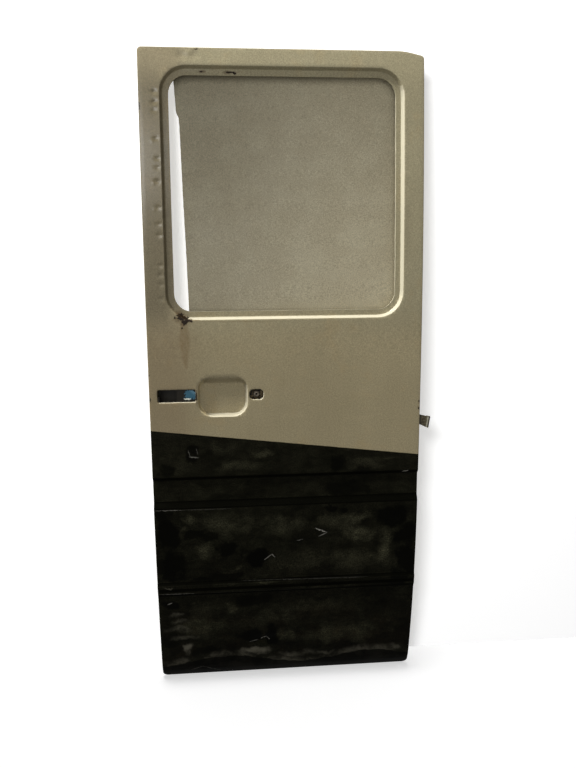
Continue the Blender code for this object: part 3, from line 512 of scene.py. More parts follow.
# Thin light lines through the black, scratches and pale lines along the bands' ridges: start (x, z), end (x, z),
# width, strength
lightLines = [
    (63.1, 384.7, 90.4, 372.8, 1.4, 0.8), (90.4, 372.8, 70.9, 364.3, 1.1, 0.5),
    (19.1, 355.7, 35.4, 358.8, 0.8, 0.4), (-55.2, 310.7, -36.6, 325.2, 1.2, 0.5),
    (-36.6, 325.2, -29.7, 317.2, 1.1, 0.65), (-90.5, 92.3, -71.2, 97, 1, 0.4),
    (-63.9, 99.5, -51.8, 104.7, 1.4, 0.7), (-51.8, 104.7, -42.2, 95.2, 1.3, 0.65),
    (-280.4, 205.7, -268.6, 210.5, 1.4, 0.6), (-218.8, 563.6, -196.9, 561, 1.4, 0.38),
    (-221, 580, -215, 564, 1, 0.22), (-202, 583, -199, 568, 1, 0.18),
    (263.2, 513.9, 277.1, 515.8, 1.2, 0.8), (-298.7, 441.3, -240, 440.7, 0.9, 0.32),
    (-260, 440.7, -126.4, 440.2, 0.8, 0.12), (-297.4, 235.9, -216.8, 234.9, 1.2, 0.26),
    (-236.8, 234.9, 160, 232.5, 0.9, 0.04), (-110, 261.1, 28.9, 259.2, 0.9, 0.05),
    (-11.1, 259.4, 187.6, 257.3, 0.9, 0.055), (-232.8, 16.2, -203.3, 26.7, 1.6, 0.14),
    (-203.3, 26.7, -160.1, 8, 1.6, 0.14),
]
# Painted shade: dark stretches that run right across, on the bands' flanks: bottom, top
darkBands = [(0.4425, 0.46), (0.5095, 0.5165), (0.24, 0.248), (0.228, 0.2345), (0.256, 0.264)]
# Along the bottom the dust stays off as painted shade of the rolled-under lip, up to a wavy line; above it lies a
# pale band of silt and painted highlight
tideLine = {
    "height": 0.0405,
    "fall": 0.012,
    "swing": 0.0125,
    "length": 0.344,
    "crest": -0.139,
    "bend": 0.016,
    "silt": (0.022, 0.002, 0.62),
}


def band(w, value, low, high, soft):
    return w.times(w.ramp(value, low - soft, low + soft), w.ramp(value, high + soft, high - soft))


def patches(w, place, wander, spots, ragged, edge):
    # yields each spot's mask with its own last value
    for *millimetres, value in spots:
        px, pz, rx, rz = (number / 1000 for number in millimetres)
        mask = w.group(
            patchGroup, Place=place, Centre=(px, 0, pz), Radius=(rx, 1.0, rz), Wander=wander,
            Ragged=value if ragged is None else ragged, Edge=edge,
        )
        yield mask["Mask"], value


def lines(w, place, wander, strokes, wobble):
    for *millimetres, value in strokes:
        x1, z1, x2, z2, width = (number / 1000 for number in millimetres)
        mask = w.group(
            scratchGroup, Place=place, Start=(x1, 0, z1), End=(x2, 0, z2), Width=width,
            Wander=wander, Wobble=wobble,
        )
        yield mask["Mask"], value


def inBox(w, x, z, spans):
    # 1 inside the spans: low, high and softness across, then up
    return w.times(band(w, x, *spans[0]), band(w, z, *spans[1]))


def beigeShade(w, x, z, grain):
    # painted light and shade over the beige: darker towards the latch side and on the strip beside the window,
    # lighter low on the hinge side and at the top, and the pocket's floor lit up in place of its shade
    toRight = w.times(w.ramp(x, *shading["right"][:2]), w.ramp(z, *reversed(shading["rightTop"])))
    bent = w.bend(x, grain["Wander"], shading["stripBend"])
    strip = w.times(w.ramp(z, *shading["stripFoot"]), w.ramp(z, *shading["stripTop"]))
    strip = w.times(w.ramp(bent, *shading["strip"][:2]), strip)
    return w.times(
        w.ramp(x, *shading["across"]), w.blend(toRight, *shading["right"][2:]), w.ramp(z, *shading["up"]),
        w.blend(strip, 1.0, shading["strip"][2]),
        w.blend(inBox(w, x, z, shading["pocketFloor"]), 1.0, shading["pocket"]),
    )


def apertureAway(w, x, z):
    # how far a point of the face is from the edge of the window's aperture
    out = [w.less(w.math("ABSOLUTE", w.less(value, middle)), reach)
           for value, middle, reach in zip((x, z), (0.0, aperture["middle"]), aperture["reach"])]
    over = [w.math("POWER", w.most(value, 0.0), 2.0) for value in out]
    inside = w.math("MINIMUM", w.most(*out), 0.0)
    return w.less(w.plus(w.math("SQRT", w.plus(*over)), inside), aperture["radius"])


def beigeColour(w, place, x, z, grain, facing):
    colour = w.mix(w.ramp(grain["Cloud"], 0.35, 0.65), beige["shade"], beige["clean"])
    colour = w.mix(w.ramp(grain["Drift"], 0.52, 0.7, 0.0, 0.6), colour, beige["warm"])
    streaks = w.ramp(w.noise(place, 1.0, 3.0, 0.6, beige["streaks"]), 0.3, 0.7, 0.985, 1.015)
    # the pocket's wall on the latch side gets light from the pocket's floor
    wall = w.times(w.ramp(facing[0], 0.25, 0.6), inBox(w, x, z, shading["pocketWall"]))
    bounce = w.timesPlus(wall, beige["bounce"], 1.0)
    level = w.times(streaks, w.swing(grain["Speck"], beige["speck"]), beigeShade(w, x, z, grain), bounce)
    for mask, share in patches(w, place, grain["Wander"], scuffs, 0.6, 0.9):
        level = w.times(level, w.blend(w.times(mask, share), 1.0, beige["scuff"]))
    colour = w.tint(colour, w.times(level, w.swing(grain["Fray"], beige["mottle"])))
    colour = w.mix(w.ramp(z, 0.9, 0.8), colour, w.tint(colour, beige["low"]))
    colour = w.mix(w.ramp(x, -0.17, -0.25), colour, w.tint(colour, beige["latchSide"]))
    # painted highlight: ledges that look up or to the latch side, towards the light, are painted pale
    ledge = w.times(
        w.ramp(w.less(facing[2], facing[0]), 0.35, 0.75), w.ramp(w.math("ABSOLUTE", x), *faceEdge["dusty"]),
        w.ramp(z, *faceEdge["top"]), w.ramp(facing[1], 0.1, -0.1), beige["ledge"],
    )
    colour = w.mix(ledge, colour, beige["pale"])
    # painted highlight: a pale line along the aperture's edge, most of all low down and on the hinge side, where
    # the edge faces the light
    worn = w.ramp(apertureAway(w, x, z), aperture["wear"], aperture["wear"] * 0.7)
    lower = w.ramp(w.less(x, w.less(z, aperture["middle"])), 0.0, 0.08)
    worn = w.times(worn, lower, w.ramp(grain["Wander"], 0.3, 0.5, 0.5, 0.9))
    colour = w.mix(worn, colour, beige["worn"])
    for mask, strength in lines(w, place, grain["Wander"], rustRuns, 0.012):
        thin = w.times(strength, w.ramp(grain["Fray"], 0.35, 0.6, 0.5, 1.1))
        colour = w.mix(w.times(mask, thin), colour, beige["rustRun"])
    wider = [(*spot[:2], spot[2] * 1.7, spot[3] * 2.0, 0.5) for spot in rustSpots]
    rust = w.most(0.0, *(mask for mask, _ in patches(w, place, grain["Fray"], rustSpots, None, 0.3)))
    halo = w.most(0.0, *(mask for mask, _ in patches(w, place, grain["Wander"], wider, 0.8, 0.9)))
    colour = w.mix(w.times(halo, beige["halo"]), colour, beige["rustEdge"])
    colour = w.mix(rust, colour, beige["rust"])
    # chips along the door's edges
    edge = w.less(twoTone["halfWidth"], w.math("ABSOLUTE", x))
    chip = w.times(w.ramp(edge, 0.0045, 0.001), w.ramp(grain["Wander"], 0.65, 0.69))
    return w.mix(chip, colour, beige["bare"]), rust


def blackFilm(w, place, x, z, grain):
    # gives how thick the dust lies on the black; the pale silt with painted highlight; and the dark stretches of
    # painted shade
    cloud = w.less(w.noise(place, 9.0, 6.0, 0.68, (1, 1, 2.0)), 0.5)
    film = w.math("MULTIPLY_ADD", cloud, black["filmSwing"], black["film"], clamp=True)
    place = w.vector("ADD", place, w.vector("MULTIPLY", w.wander(place, 17.0), black["stray"]))
    for mask, level in patches(w, place, grain["Drift"], dusty, 0.5, 0.95):
        film = w.timesPlus(w.times(mask, level * black["dusty"]), w.less(1.0, film), film)
    for mask, strength in patches(w, place, grain["Drift"], wiped, 0.45, 0.4):
        film = w.times(film, w.less(1.0, w.times(mask, strength)))
    wipes = w.ramp(w.noise(place, 1.0, 4.0, 0.7, (26, 26, 190)), 0.36, 0.64, 0.78, 1.22)
    film = w.times(film, wipes, w.ramp(grain["Wander"], 0.3, 0.7, 0.65, 1.35))
    turn = w.times(w.less(x, tideLine["crest"]), math.tau / tideLine["length"])
    tide = w.timesPlus(w.math("COSINE", turn), tideLine["swing"], tideLine["height"])
    tide = w.less(tide, w.times(x, tideLine["fall"]))
    above = w.less(z, w.bend(tide, grain["Wander"], tideLine["bend"]))
    high, low, most = tideLine["silt"]
    silt = w.times(w.ramp(above, high, low), w.ramp(grain["Drift"], 0.42, 0.6, 0.05, 0.85), most)
    for mask, level in patches(w, place, grain["Drift"], silty, 0.4, 0.95):
        silt = w.most(silt, w.times(mask, level))
    # below the wavy line the dust is kept off: painted shade
    gate = w.ramp(above, -0.001, 0.001, 0.1, 1.0)
    silt = w.times(silt, w.ramp(grain["Wander"], 0.34, 0.62, 0.45, 1.15), gate)
    bands = w.most(0.0, *(band(w, z, low, high, 0.0015) for low, high in darkBands))
    return w.times(film, gate, w.timesPlus(bands, -0.93, 1.0)), silt, bands


def skinPaint():
    made, w, place, facing = newFinish("twoTonePaint")
    x, z, grain = readPlace(w, place)
    colour, rust = beigeColour(w, place, x, z, grain, facing)

    film, silt, bands = blackFilm(w, place, x, z, grain)
    mud = w.times(w.ramp(z, *black["mudRise"]), w.ramp(grain["Drift"], 0.42, 0.58))
    dust = w.tint(w.mix(mud, black["dust"], black["mud"]), w.swing(grain["Speck"], 0.9))
    dark = w.mix(silt, w.mix(film, black["clean"], dust), black["silt"])
    for mask, strength in lines(w, place, grain["Fray"], lightLines, 0.005):
        broken = w.times(mask, strength, w.ramp(grain["Fray"], 0.36, 0.52, 0.35, 1.0))
        dark = w.mix(broken, dark, black["scratch"])

    # black below the line
    share = w.math("DIVIDE", w.plus(x, twoTone["halfWidth"]), 2 * twoTone["halfWidth"])
    line = w.blend(share, twoTone["latchHeight"], twoTone["hingeHeight"])
    below = w.bend(w.less(line, z), grain["Wander"], twoTone["bend"])
    isBlack = w.ramp(below, -twoTone["soft"], twoTone["soft"])
    painted = w.mix(isBlack, colour, dark)
    # behind the skin, inside the hems: dark paint as painted shade inside the door
    inside = w.times(
        w.ramp(facing[1], 0.3, 0.6), w.ramp(w.math("ABSOLUTE", x), *faceEdge["hem"]),
        band(w, z, *faceEdge["rows"], 0.0008),
    )
    primer = w.mix(w.ramp(grain["Cloud"], 0.4, 0.6), beige["cavity"], beige["cavityShade"])

    beigeRough = w.blend(rust, w.ramp(grain["Cloud"], 0.3, 0.7, beige["rough"] + 0.1, beige["rough"]), 0.85)
    blackRough = w.blend(bands, w.blend(film, black["rough"], black["dustRough"]), 0.85)
    gloss = w.times(w.less(1.0, film), w.timesPlus(bands, -black["coat"], black["coat"]))
    relief = w.plus(w.times(grain["Peel"], 0.3), w.times(rust, grain["Fray"]))
    w.dress({
        "Base Color": w.mix(inside, painted, primer),
        "Roughness": w.blend(isBlack, beigeRough, blackRough),
        "Specular IOR Level": 0.01,
        "Coat Weight": w.times(w.blend(isBlack, beige["coat"], gloss), w.less(1.0, inside)),
        "Coat Roughness": 0.22,
        "Normal": w.bump(relief, 0.0004),
    })
    return made


inner = {
    "clean": (0.25, 0.223, 0.142),
    "shade": (0.205, 0.18, 0.112),
    "grime": (0.06, 0.048, 0.03),
    # painted shade: the near black of the side that faces the skin
    "cavity": (0.012, 0.01, 0.006),
    "sealer": (0.33, 0.3, 0.215),
    "speck": 0.2,
}
weld = {"pitch": 0.052, "line": 0.2878, "radius": 0.0034, "sealer": (0.2908, 0.2932), "bend": 0.0016}
# Grime on the cargo side: place (x, z), radius (x, z), level
cargoGrime = [(x, z, 11, 14, 0.75) for x in (-258, 258) for z in (80, 250, 430, 600, 762)]
cargoGrime += [
    (0, 360, 205, 78, 0.55), (-145, 675, 100, 86, 0.6), (138, 675, 88, 76, 0.45), (0, 20, 330, 40, 0.7),
    (-270, 640, 20, 75, 0.55), (270, 270, 20, 60, 0.5),
]
cargoScratches = [
    (-140, 560, -60, 585, 0.9, 0.55), (60, 200, 150, 228, 0.8, 0.5), (150, 560, 205, 535, 0.8, 0.45),
    (-200, 205, -130, 190, 1, 0.4), (20, 800, 110, 808, 0.8, 0.35), (-60, 455, 60, 470, 0.9, 0.4),
]


def innerPaint():
    made, w, place, facing = newFinish("innerPaint")
    x, z, grain = readPlace(w, place)
    colour = w.mix(w.ramp(grain["Drift"], 0.38, 0.62), inner["shade"], inner["clean"])
    colour = w.tint(colour, w.swing(grain["Speck"], inner["speck"]))
    grime = w.ramp(grain["Cloud"], 0.55, 0.75, 0.0, 0.35)
    for mask, level in patches(w, place, grain["Drift"], cargoGrime, 1.0, 0.9):
        grime = w.most(grime, w.times(mask, level, w.ramp(grain["Fray"], 0.3, 0.7, 0.4, 1.2)))
    colour = w.mix(grime, colour, inner["grime"])
    for mask, strength in lines(w, place, grain["Fray"], cargoScratches, 0.004):
        colour = w.mix(w.times(mask, strength), colour, beige["bare"])
    # a row of spot welds, and a bead of sealer beside it
    away = w.math("ABSOLUTE", x)
    along = w.times(w.less(w.math("FRACT", w.math("DIVIDE", z, weld["pitch"])), 0.5), weld["pitch"])
    beside = w.less(away, weld["line"])
    reach = w.math("SQRT", w.plus(w.times(along, along), w.math("POWER", beside, 2.0)))
    spot = w.ramp(reach, weld["radius"], weld["radius"] * 0.6)
    ring = w.times(spot, w.ramp(reach, weld["radius"] * 0.4, weld["radius"] * 0.7), 0.5)
    colour = w.mix(ring, colour, inner["grime"])
    bent = w.bend(away, grain["Wander"], weld["bend"])
    bead = w.times(band(w, bent, *weld["sealer"], 0.0004), w.ramp(facing[1], 0.3, 0.6))
    colour = w.mix(bead, colour, inner["sealer"])
    relief = w.timesPlus(spot, -4.0, w.times(bead, 5.0))
    w.dress({
        # the side that faces the skin is near black: painted shade inside the door
        "Base Color": w.mix(w.ramp(facing[1], -0.3, -0.6), colour, inner["cavity"]),
        "Roughness": w.ramp(grime, 0.0, 0.6, 0.48, 0.8),
        "Specular IOR Level": 0.25,
        "Normal": w.bump(w.plus(relief, w.plus(grain["Peel"], grime)), 0.0002),
    })
    return made


blank = {
    "clean": (0.24, 0.215, 0.145),
    "shade": (0.222, 0.196, 0.13),
    "speck": 0.28,
    "mottle": 0.06,
    # painted shade across and down the sheet
    "across": (-0.235, 0.235, 0.7, 1.1),
    "down": (1.36, 0.88, 0.84, 1.15),
}


def blankPaint():
    made, w, place, facing = newFinish("blankPaint")
    x, z, grain = readPlace(w, place)
    colour = w.mix(w.ramp(grain["Drift"], 0.4, 0.62), blank["shade"], blank["clean"])
    # painted shade: darker at the top and on the latch side, where the window's frame shades the sheet, lighter
    # towards the bottom and the hinge side
    level = w.times(
        w.ramp(x, *blank["across"]), w.ramp(z, *blank["down"]), w.swing(grain["Speck"], blank["speck"]),
        w.swing(grain["Fray"], blank["mottle"]),
    )
    w.dress({
        "Base Color": w.tint(colour, level),
        "Roughness": w.ramp(grain["Cloud"], 0.3, 0.7, 0.66, 0.52),
        "Specular IOR Level": 0.2,
        "Normal": w.bump(grain["Peel"], 0.00012),
    })
    return made


def metal(name, light, dark, rough, metallic, blotch=60.0):
    made, w, place, _ = newFinish(name)
    blotches = w.ramp(w.noise(place, blotch, 5.0, 0.65), 0.38, 0.66)
    fine = w.noise(place, blotch * 9, 2.0)
    w.dress({
        "Base Color": w.mix(blotches, dark, light),
        "Roughness": w.blend(fine, rough * 0.8, rough * 1.25),
        "Metallic": metallic,
        "Normal": w.bump(fine, 0.00015),
    })
    return made


handleSteel = {
    "blue": (0.045, 0.13, 0.19),
    "light": (0.13, 0.26, 0.34),
    "brown": (0.12, 0.088, 0.045),
    "dark": (0.008, 0.006, 0.003),
    "glint": (0.8, 0.82, 0.72),
    "behind": ((0.11, 0.1, 0.08), (0.16, 0.15, 0.125)),
    # the blued patch and the glint: place, radius, ragged
    "spots": [(-211.2, 703.0, 14.0, 11.2, 0.5), (-218.5, 692.6, 6.2, 2.0, 0.8)],
    "end": 0.004,
    "tail": 0.016,
}


def bracketFinish():
    # blued zinc where the handle slot shows it, brown dirt and rust further in, plain steel behind
    made, w, place, facing = newFinish("handleSteel")
    x, z, grain = readPlace(w, place)
    isBlue, isGlint = (mask for mask, _ in patches(w, place, grain["Fray"], handleSteel["spots"], None, 0.2))
    # the blue is lighter on its upper right: painted reflection; the glint is a painted highlight
    blue = w.mix(w.ramp(w.plus(x, z), 0.494, 0.506), handleSteel["blue"], handleSteel["light"])
    brown = w.mix(w.ramp(grain["Fray"], 0.44, 0.58), handleSteel["brown"], handleSteel["dark"])
    brown = w.mix(w.ramp(x, -0.198, -0.203), brown, handleSteel["dark"])
    colour = w.mix(isGlint, w.mix(isBlue, brown, blue), handleSteel["glint"])
    behind = w.mix(w.ramp(grain["Drift"], 0.4, 0.6), *handleSteel["behind"])
    w.dress({
        "Base Color": w.mix(w.ramp(facing[1], 0.2, 0.5), colour, behind),
        "Specular IOR Level": 0.15,
        "Roughness": 0.42,
        "Normal": w.bump(grain["Fray"], 0.0004),
    })
    return made


lug = {
    "olive": (0.115, 0.098, 0.058),
    "brown": (0.05, 0.04, 0.024),
    "dark": (0.009, 0.008, 0.005),
    "worn": (0.42, 0.4, 0.31),
    "slant": (0.64, 0.16),  # the end's line: its top, and how far it draws back for each metre down
    "streak": (0.02, 0.0228),
    "rim": (0.0246, 0.0254),
    "from": 0.3,
    "reach": 0.029,
    "lineTop": 0.6475,
    "droop": 0.25,
    "rootHang": 0.004,  # how much deeper the tongue is than the plain strip, at its root and at its end
    "endHang": 0.0068,
    "topHang": 0.0008,
    "lean": 0.0055,  # how far the end is drawn back, at its foot and at its top
    "topLean": 0.0015,
}


def lugFinish():
    # dark steel: rust near the door, a worn streak near the end, near black along its rim
    made, w, place, _ = newFinish("lugSteel")
    x, z, grain = readPlace(w, place)
    out = w.less(x, lug["from"])
    colour = w.mix(w.ramp(grain["Fray"], 0.4, 0.58), lug["brown"], lug["olive"])
    colour = w.mix(w.ramp(out, 0.008, 0.001), colour, lug["dark"])
    slanted = w.timesPlus(w.less(lug["slant"][0], z), lug["slant"][1], out)
    streak = band(w, w.bend(slanted, grain["Fray"], 0.003), *lug["streak"], 0.0006)
    colour = w.mix(w.times(streak, 0.85), colour, lug["worn"])
    top = w.timesPlus(out, lug["droop"], w.less(z, lug["lineTop"]))
    rim = w.most(w.ramp(top, -0.0038, -0.0022), w.ramp(slanted, *lug["rim"]))
    w.dress({
        "Base Color": w.mix(rim, colour, lug["dark"]),
        "Specular IOR Level": 0.2,
        "Roughness": 0.6,
        "Normal": w.bump(grain["Fray"], 0.0006),
    })
    return made


print("stage: finishes")
finishes = {
    "skin": skinPaint(),
    "inner": innerPaint(),
    "blank": blankPaint(),
    "steel": metal("dullSteel", (0.24, 0.225, 0.2), (0.12, 0.105, 0.085), 0.55, 0.7),
    "zinc": metal("zincPlate", (0.52, 0.56, 0.58), (0.3, 0.33, 0.35), 0.32, 1.0, 130.0),
    "bracket": bracketFinish(),
    "rusty": lugFinish(),
    "boss": metal("bossSteel", (0.16, 0.13, 0.095), (0.05, 0.04, 0.028), 0.5, 0.5, 200.0),
}


# Shapes: the CAD sheets on a finer lattice, their side view made smooth, and their dents

sideView = {
    "belt": 0.7,
    "lean": 0.041,
    "tuckTop": 0.475,
    "tuck": 0.053,
    "lipTop": 0.04,
    "lipRoll": 0.01,
    "top": 1.424,
    # the CAD's rows: shares of the lip, how many in the height, and how near to another one is left out
    "lipRows": (0.48, 0.72, 1.0),
    "rows": 15,
    "apart": 0.0158,
}
bandViews = [(0.447, 0.515, 0.011, 0.006, 0.007), (0.229, 0.263, 0.006, 0.006, -0.004)]
skin = {
    "lattice": 0.01,
    "bandRows": 0.0015,
    "bandPast": 0.006,
    "sharp": 50,
    "edgeSoft": 0.003,
    "wave": 0.00013,
    "dented": (0.29, 0.006),
    "loose": (0.295, 0.06),
}
innerShape = {"rows": 0.012, "columns": 0.02, "wave": 0.0004, "flat": (0.278, 0.01)}
blankShape = {
    "rows": (0.84, 1.4, 0.008),
    "columns": (-0.24, 0.28, 0.01),
    "held": (0.262, 0.868, 1.374),
    "soft": 0.03,
    "wave": 0.0006,
    "cut": -0.18,
    "cutWave": 0.0007,
}
# Dents in millimetres: place (x, z), radius (x, z), depth; a negative depth stands out
dents = [
    (-268.5, 1296, 5.5, 4, 0.7), (-267, 1240, 5.5, 4, 0.9), (-264.5, 1200, 5.5, 4, 0.8),
    (-265, 1181.6, 5.5, 4, 0.5), (-266.5, 1153.6, 5.5, 4, 0.9), (-268, 1333, 5.5, 4.2, 1.4),
    (-268, 1313, 5.5, 4.2, 1.4),
]
dents += [(-266, z, 5.8, 4, 0.7) for z in (1100.4, 1067, 1044, 981, 961, 941, 911)]
dents += [(-274, z, 3, 3.2, -0.3) for z in (1330, 1235, 1149, 1096, 977, 938)]
dents += [
    (-210, 1406, 12, 8, 0.9), (-182, 1408, 10, 8, 0.8), (-195, 1412, 6, 6, -0.6), (275, 1070, 12, 50, 0.6),
    (-52, 99, 24, 9, 2.5), (-260, 168, 35, 5, 0.8), (-260, 148, 40, 5, 0.8), (-260, 126, 35, 5, 0.8),
    (-260, 106, 35, 5, 0.7), (120, 390, 90, 50, 1),
]
# The pocket's rim, and how far from it each line of the wall lies: in the CAD, and here
pocket = {
    "middle": (-0.141, 0.7005),
    "reach": (0.023, 0.0155),  # half width and half height without the corners
    "radius": 0.032,
    "sides": [(-0.03, -0.03), (-0.01, -0.0055), (0.0, 0.0)],
    "top": [(-0.032, -0.032), (-0.018, -0.0245), (0.0, -0.0035), (0.02, 0.02)],
}
# Where the lattice is finer: x from, x to, z from, z to, pitch
fineAreas = [
    (-0.288, -0.248, 0.89, 1.35, 0.0025), (-0.24, -0.15, 1.39, 1.422, 0.003),
    (-0.098, -0.008, 0.075, 0.125, 0.004),
]


def sideAt(z):
    y = sideView["lean"] * max(0.0, (z - sideView["belt"]) / (sideView["top"] - sideView["belt"])) ** 2
    y += sideView["tuck"] * max(0.0, (sideView["tuckTop"] - z) / sideView["tuckTop"]) ** 2
    return y + sideView["lipRoll"] * max(0.0, (sideView["lipTop"] - z) / sideView["lipTop"]) ** 2


def bandAt(z):
    return sum(
        depth * min(1.0, max(0.0, min((z - low) / lower, (high - z) / upper)))
        for low, high, lower, upper, depth in bandViews
    )


def cadRows():
    # the heights at which the CAD sheets bend
    edges = [sideView["lipTop"] * share for share in sideView["lipRows"]]
    for low, high, lower, upper, _ in bandViews:
        edges += [low, low + lower, high - upper, high]
    even = [sideView["top"] * i / sideView["rows"] for i in range(1, sideView["rows"])]
    even = [z for z in even if all(abs(z - e) > sideView["apart"] for e in edges)]
    return sorted([0.0, sideView["top"], *edges, *even])


rows = cadRows()


def barrelShift(z):
    # from the CAD's straight stretches to the smooth side view
    i = max(0, sum(1 for row in rows if row <= z) - 1)
    if i > len(rows) - 2:
        return 0.0
    share = (z - rows[i]) / (rows[i + 1] - rows[i])
    return sideAt(z) - (sideAt(rows[i]) * (1 - share) + sideAt(rows[i + 1]) * share)


def bandShift(z):
    # rounds the bands' corners
    steps = [skin["edgeSoft"] * (i - 4) / 4 for i in range(9)]
    return sum(bandAt(z + step) for step in steps) / len(steps) - bandAt(z)


def dentDepth(x, z):
    total = 0.0
    for px, pz, rx, rz, depth in dents:
        reach = ((x * 1000 - px) / rx) ** 2 + ((z * 1000 - pz) / rz) ** 2
        if reach < 9:
            total += depth / 1000 * math.exp(-reach)
    return total


def remap(value, pairs):
    # moves a value by straight stretches between the given pairs; outside them it stays
    for (a, a2), (b, b2) in zip(pairs, pairs[1:]):
        if a <= value <= b:
            return a2 + (b2 - a2) * (value - a) / (b - a)
    return value


def pocketShift(x, z):
    # how far the pocket's walls move outwards in the finer mesh, for a steeper foot and a lower top edge
    away = [value - middle for value, middle in zip((x, z), pocket["middle"])]
    past = [math.copysign(max(abs(part) - reach, 0.0), part) for part, reach in zip(away, pocket["reach"])]
    out = Vector(past)
    if out.length < 0.0001:
        return out * 0.0
    depth = out.length - pocket["radius"]
    out.normalize()
    top = max(0.0, out.y) ** 2
    return out * ((1 - top) * remap(depth, pocket["sides"]) + top * remap(depth, pocket["top"]) - depth)


def fadeAt(value, limit):
    # 0 from the limit's edge up, 1 by its softness below that
    edge, soft = limit
    return min(1.0, max(0.0, (edge - value) / soft))


def wave(x, z, scale, seed=0.0):
    return noise.noise(Vector((x * scale, seed, z * scale)))


def wholeOf(bm):
    return bm.verts[:] + bm.edges[:] + bm.faces[:]


def cutGrid(bm, geom, axis, levels):
    for value in levels:
        level, normal = Vector((0, 0, 0)), Vector((0, 0, 0))
        level[axis], normal[axis] = value, 1
        geom = bmesh.ops.bisect_plane(bm, geom=geom, dist=0.00002, plane_co=level, plane_no=normal)["geom"]
    return geom


def spaced(low, high, pitch):
    count = max(1, round((high - low) / pitch))
    return [low + (high - low) * i / count for i in range(1, count)]


def loadNode(name):
    # the node's mesh, merged, at the door's own coordinates
    bm = bmesh.new()
    bm.from_mesh(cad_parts[name].data)
    bmesh.ops.translate(bm, verts=bm.verts, vec=-doorZero)
    bmesh.ops.remove_doubles(bm, verts=bm.verts, dist=0.00001)
    bmesh.ops.dissolve_limit(
        bm, angle_limit=math.radians(0.05), verts=bm.verts, edges=bm.edges, use_dissolve_boundaries=False,
    )
    return bm


def placePiece(name, node, bm, finish, sharp):
    bmesh.ops.translate(bm, verts=bm.verts, vec=doorZero)
    bmesh.ops.triangulate(bm, faces=[f for f in bm.faces if len(f.verts) > 4])
    piece = finishPiece(name, bm, finishes[finish], sharp)
    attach(piece, "root")
    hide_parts(node)
    return piece


def makeSkin():
    bm = loadNode("outer_skin")
    levels = set(spaced(0.0, sideView["top"], skin["lattice"]))
    for low, high, *_ in bandViews:
        levels |= set(spaced(low - skin["bandPast"], high + skin["bandPast"], skin["bandRows"]))
    geom = cutGrid(bm, wholeOf(bm), 2, sorted(levels))
    cutGrid(bm, geom, 0, spaced(-0.3, 0.3, skin["lattice"]))
    for x0, x1, z0, z1, pitch in fineAreas:
        middles = {f: f.calc_center_median() for f in bm.faces}
        near = [f for f, middle in middles.items() if x0 < middle.x < x1 and z0 < middle.z < z1]
        geom = list({v for f in near for v in f.verts}) + list({e for f in near for e in f.edges}) + near
        geom = cutGrid(bm, geom, 2, spaced(z0, z1, pitch))
        cutGrid(bm, geom, 0, spaced(x0, x1, pitch))
    print("skin faces", len(bm.faces))
    for v in bm.verts:
        x, z = v.co.x, v.co.z
        v.co.y += barrelShift(z) + bandShift(z) + dentDepth(x, z) * fadeAt(abs(x), skin["dented"])
        v.co.y += skin["wave"] * wave(x, z, 8.0) * fadeAt(abs(x), skin["loose"])
        dx, dz = pocketShift(x, z)
        v.co.x, v.co.z = x + dx, z + dz
    return placePiece("door_skin", "outer_skin", bm, "skin", skin["sharp"])


def makeInner():
    bm = loadNode("inner_panel")
    geom = cutGrid(bm, wholeOf(bm), 2, spaced(0.0, sideView["top"], innerShape["rows"]))
    cutGrid(bm, geom, 0, spaced(-0.3, 0.3, innerShape["columns"]))
    for v in bm.verts:
        x, z = v.co.x, v.co.z
        flat = fadeAt(abs(x), innerShape["flat"])
        v.co.y += barrelShift(z) + innerShape["wave"] * wave(x, z, 7.0, 3.0) * flat
    return placePiece("door_inner", "inner_panel", bm, "inner", 40)


def makeBlank():
    # the sheet behind the window: slightly wavy, its free edge cut by hand
    bm = loadNode("blanking_sheet")
    geom = cutGrid(bm, wholeOf(bm), 2, spaced(*blankShape["rows"]))
    cutGrid(bm, geom, 0, spaced(*blankShape["columns"]))
    side, foot, top = blankShape["held"]
    for v in bm.verts:
        x, z = v.co.x, v.co.z
        held = min(1.0, max(0.0, min(side - x, z - foot, top - z) / blankShape["soft"]))
        v.co.y += blankShape["wave"] * wave(x, z, 9.0, 7.0) * held
        if x < blankShape["cut"]:
            v.co.x += blankShape["cutWave"] * wave(0.0, z, 90.0, 5.0)
    return placePiece("window_blank", "blanking_sheet", bm, "blank", 40)


def makeBevelled(name, finish, width):
    # a small piece with its sharp edges taken off
    bm = loadNode(name)
    sharp = [e for e in bm.edges if len(e.link_faces) == 2 and e.calc_face_angle(0) > math.radians(35)]
    bmesh.ops.bevel(
        bm, geom=sharp, offset=width, offset_type="OFFSET", affect="EDGES", segments=2, profile=0.5,
        clamp_overlap=True, material=-1,
    )
    return placePiece(name + "_shape", name, bm, finish, 40)


screw = {
    # half section of a pan head screw in millimetres: radius, height above the sheet
    "section": [
        (0, -11), (1.2, -10.5), (2, -9.2), (2, 0), (4.5, 0), (4.5, 0.9), (4.2, 1.7), (3.4, 2.4), (2, 2.8),
        (0, 3),
    ],
    "head": 0.003,
    "slot": (0.0052, 0.0009, 0.0016),
    "turns": (12, 47, 80, 5, 33, 66, 21, 58),
}


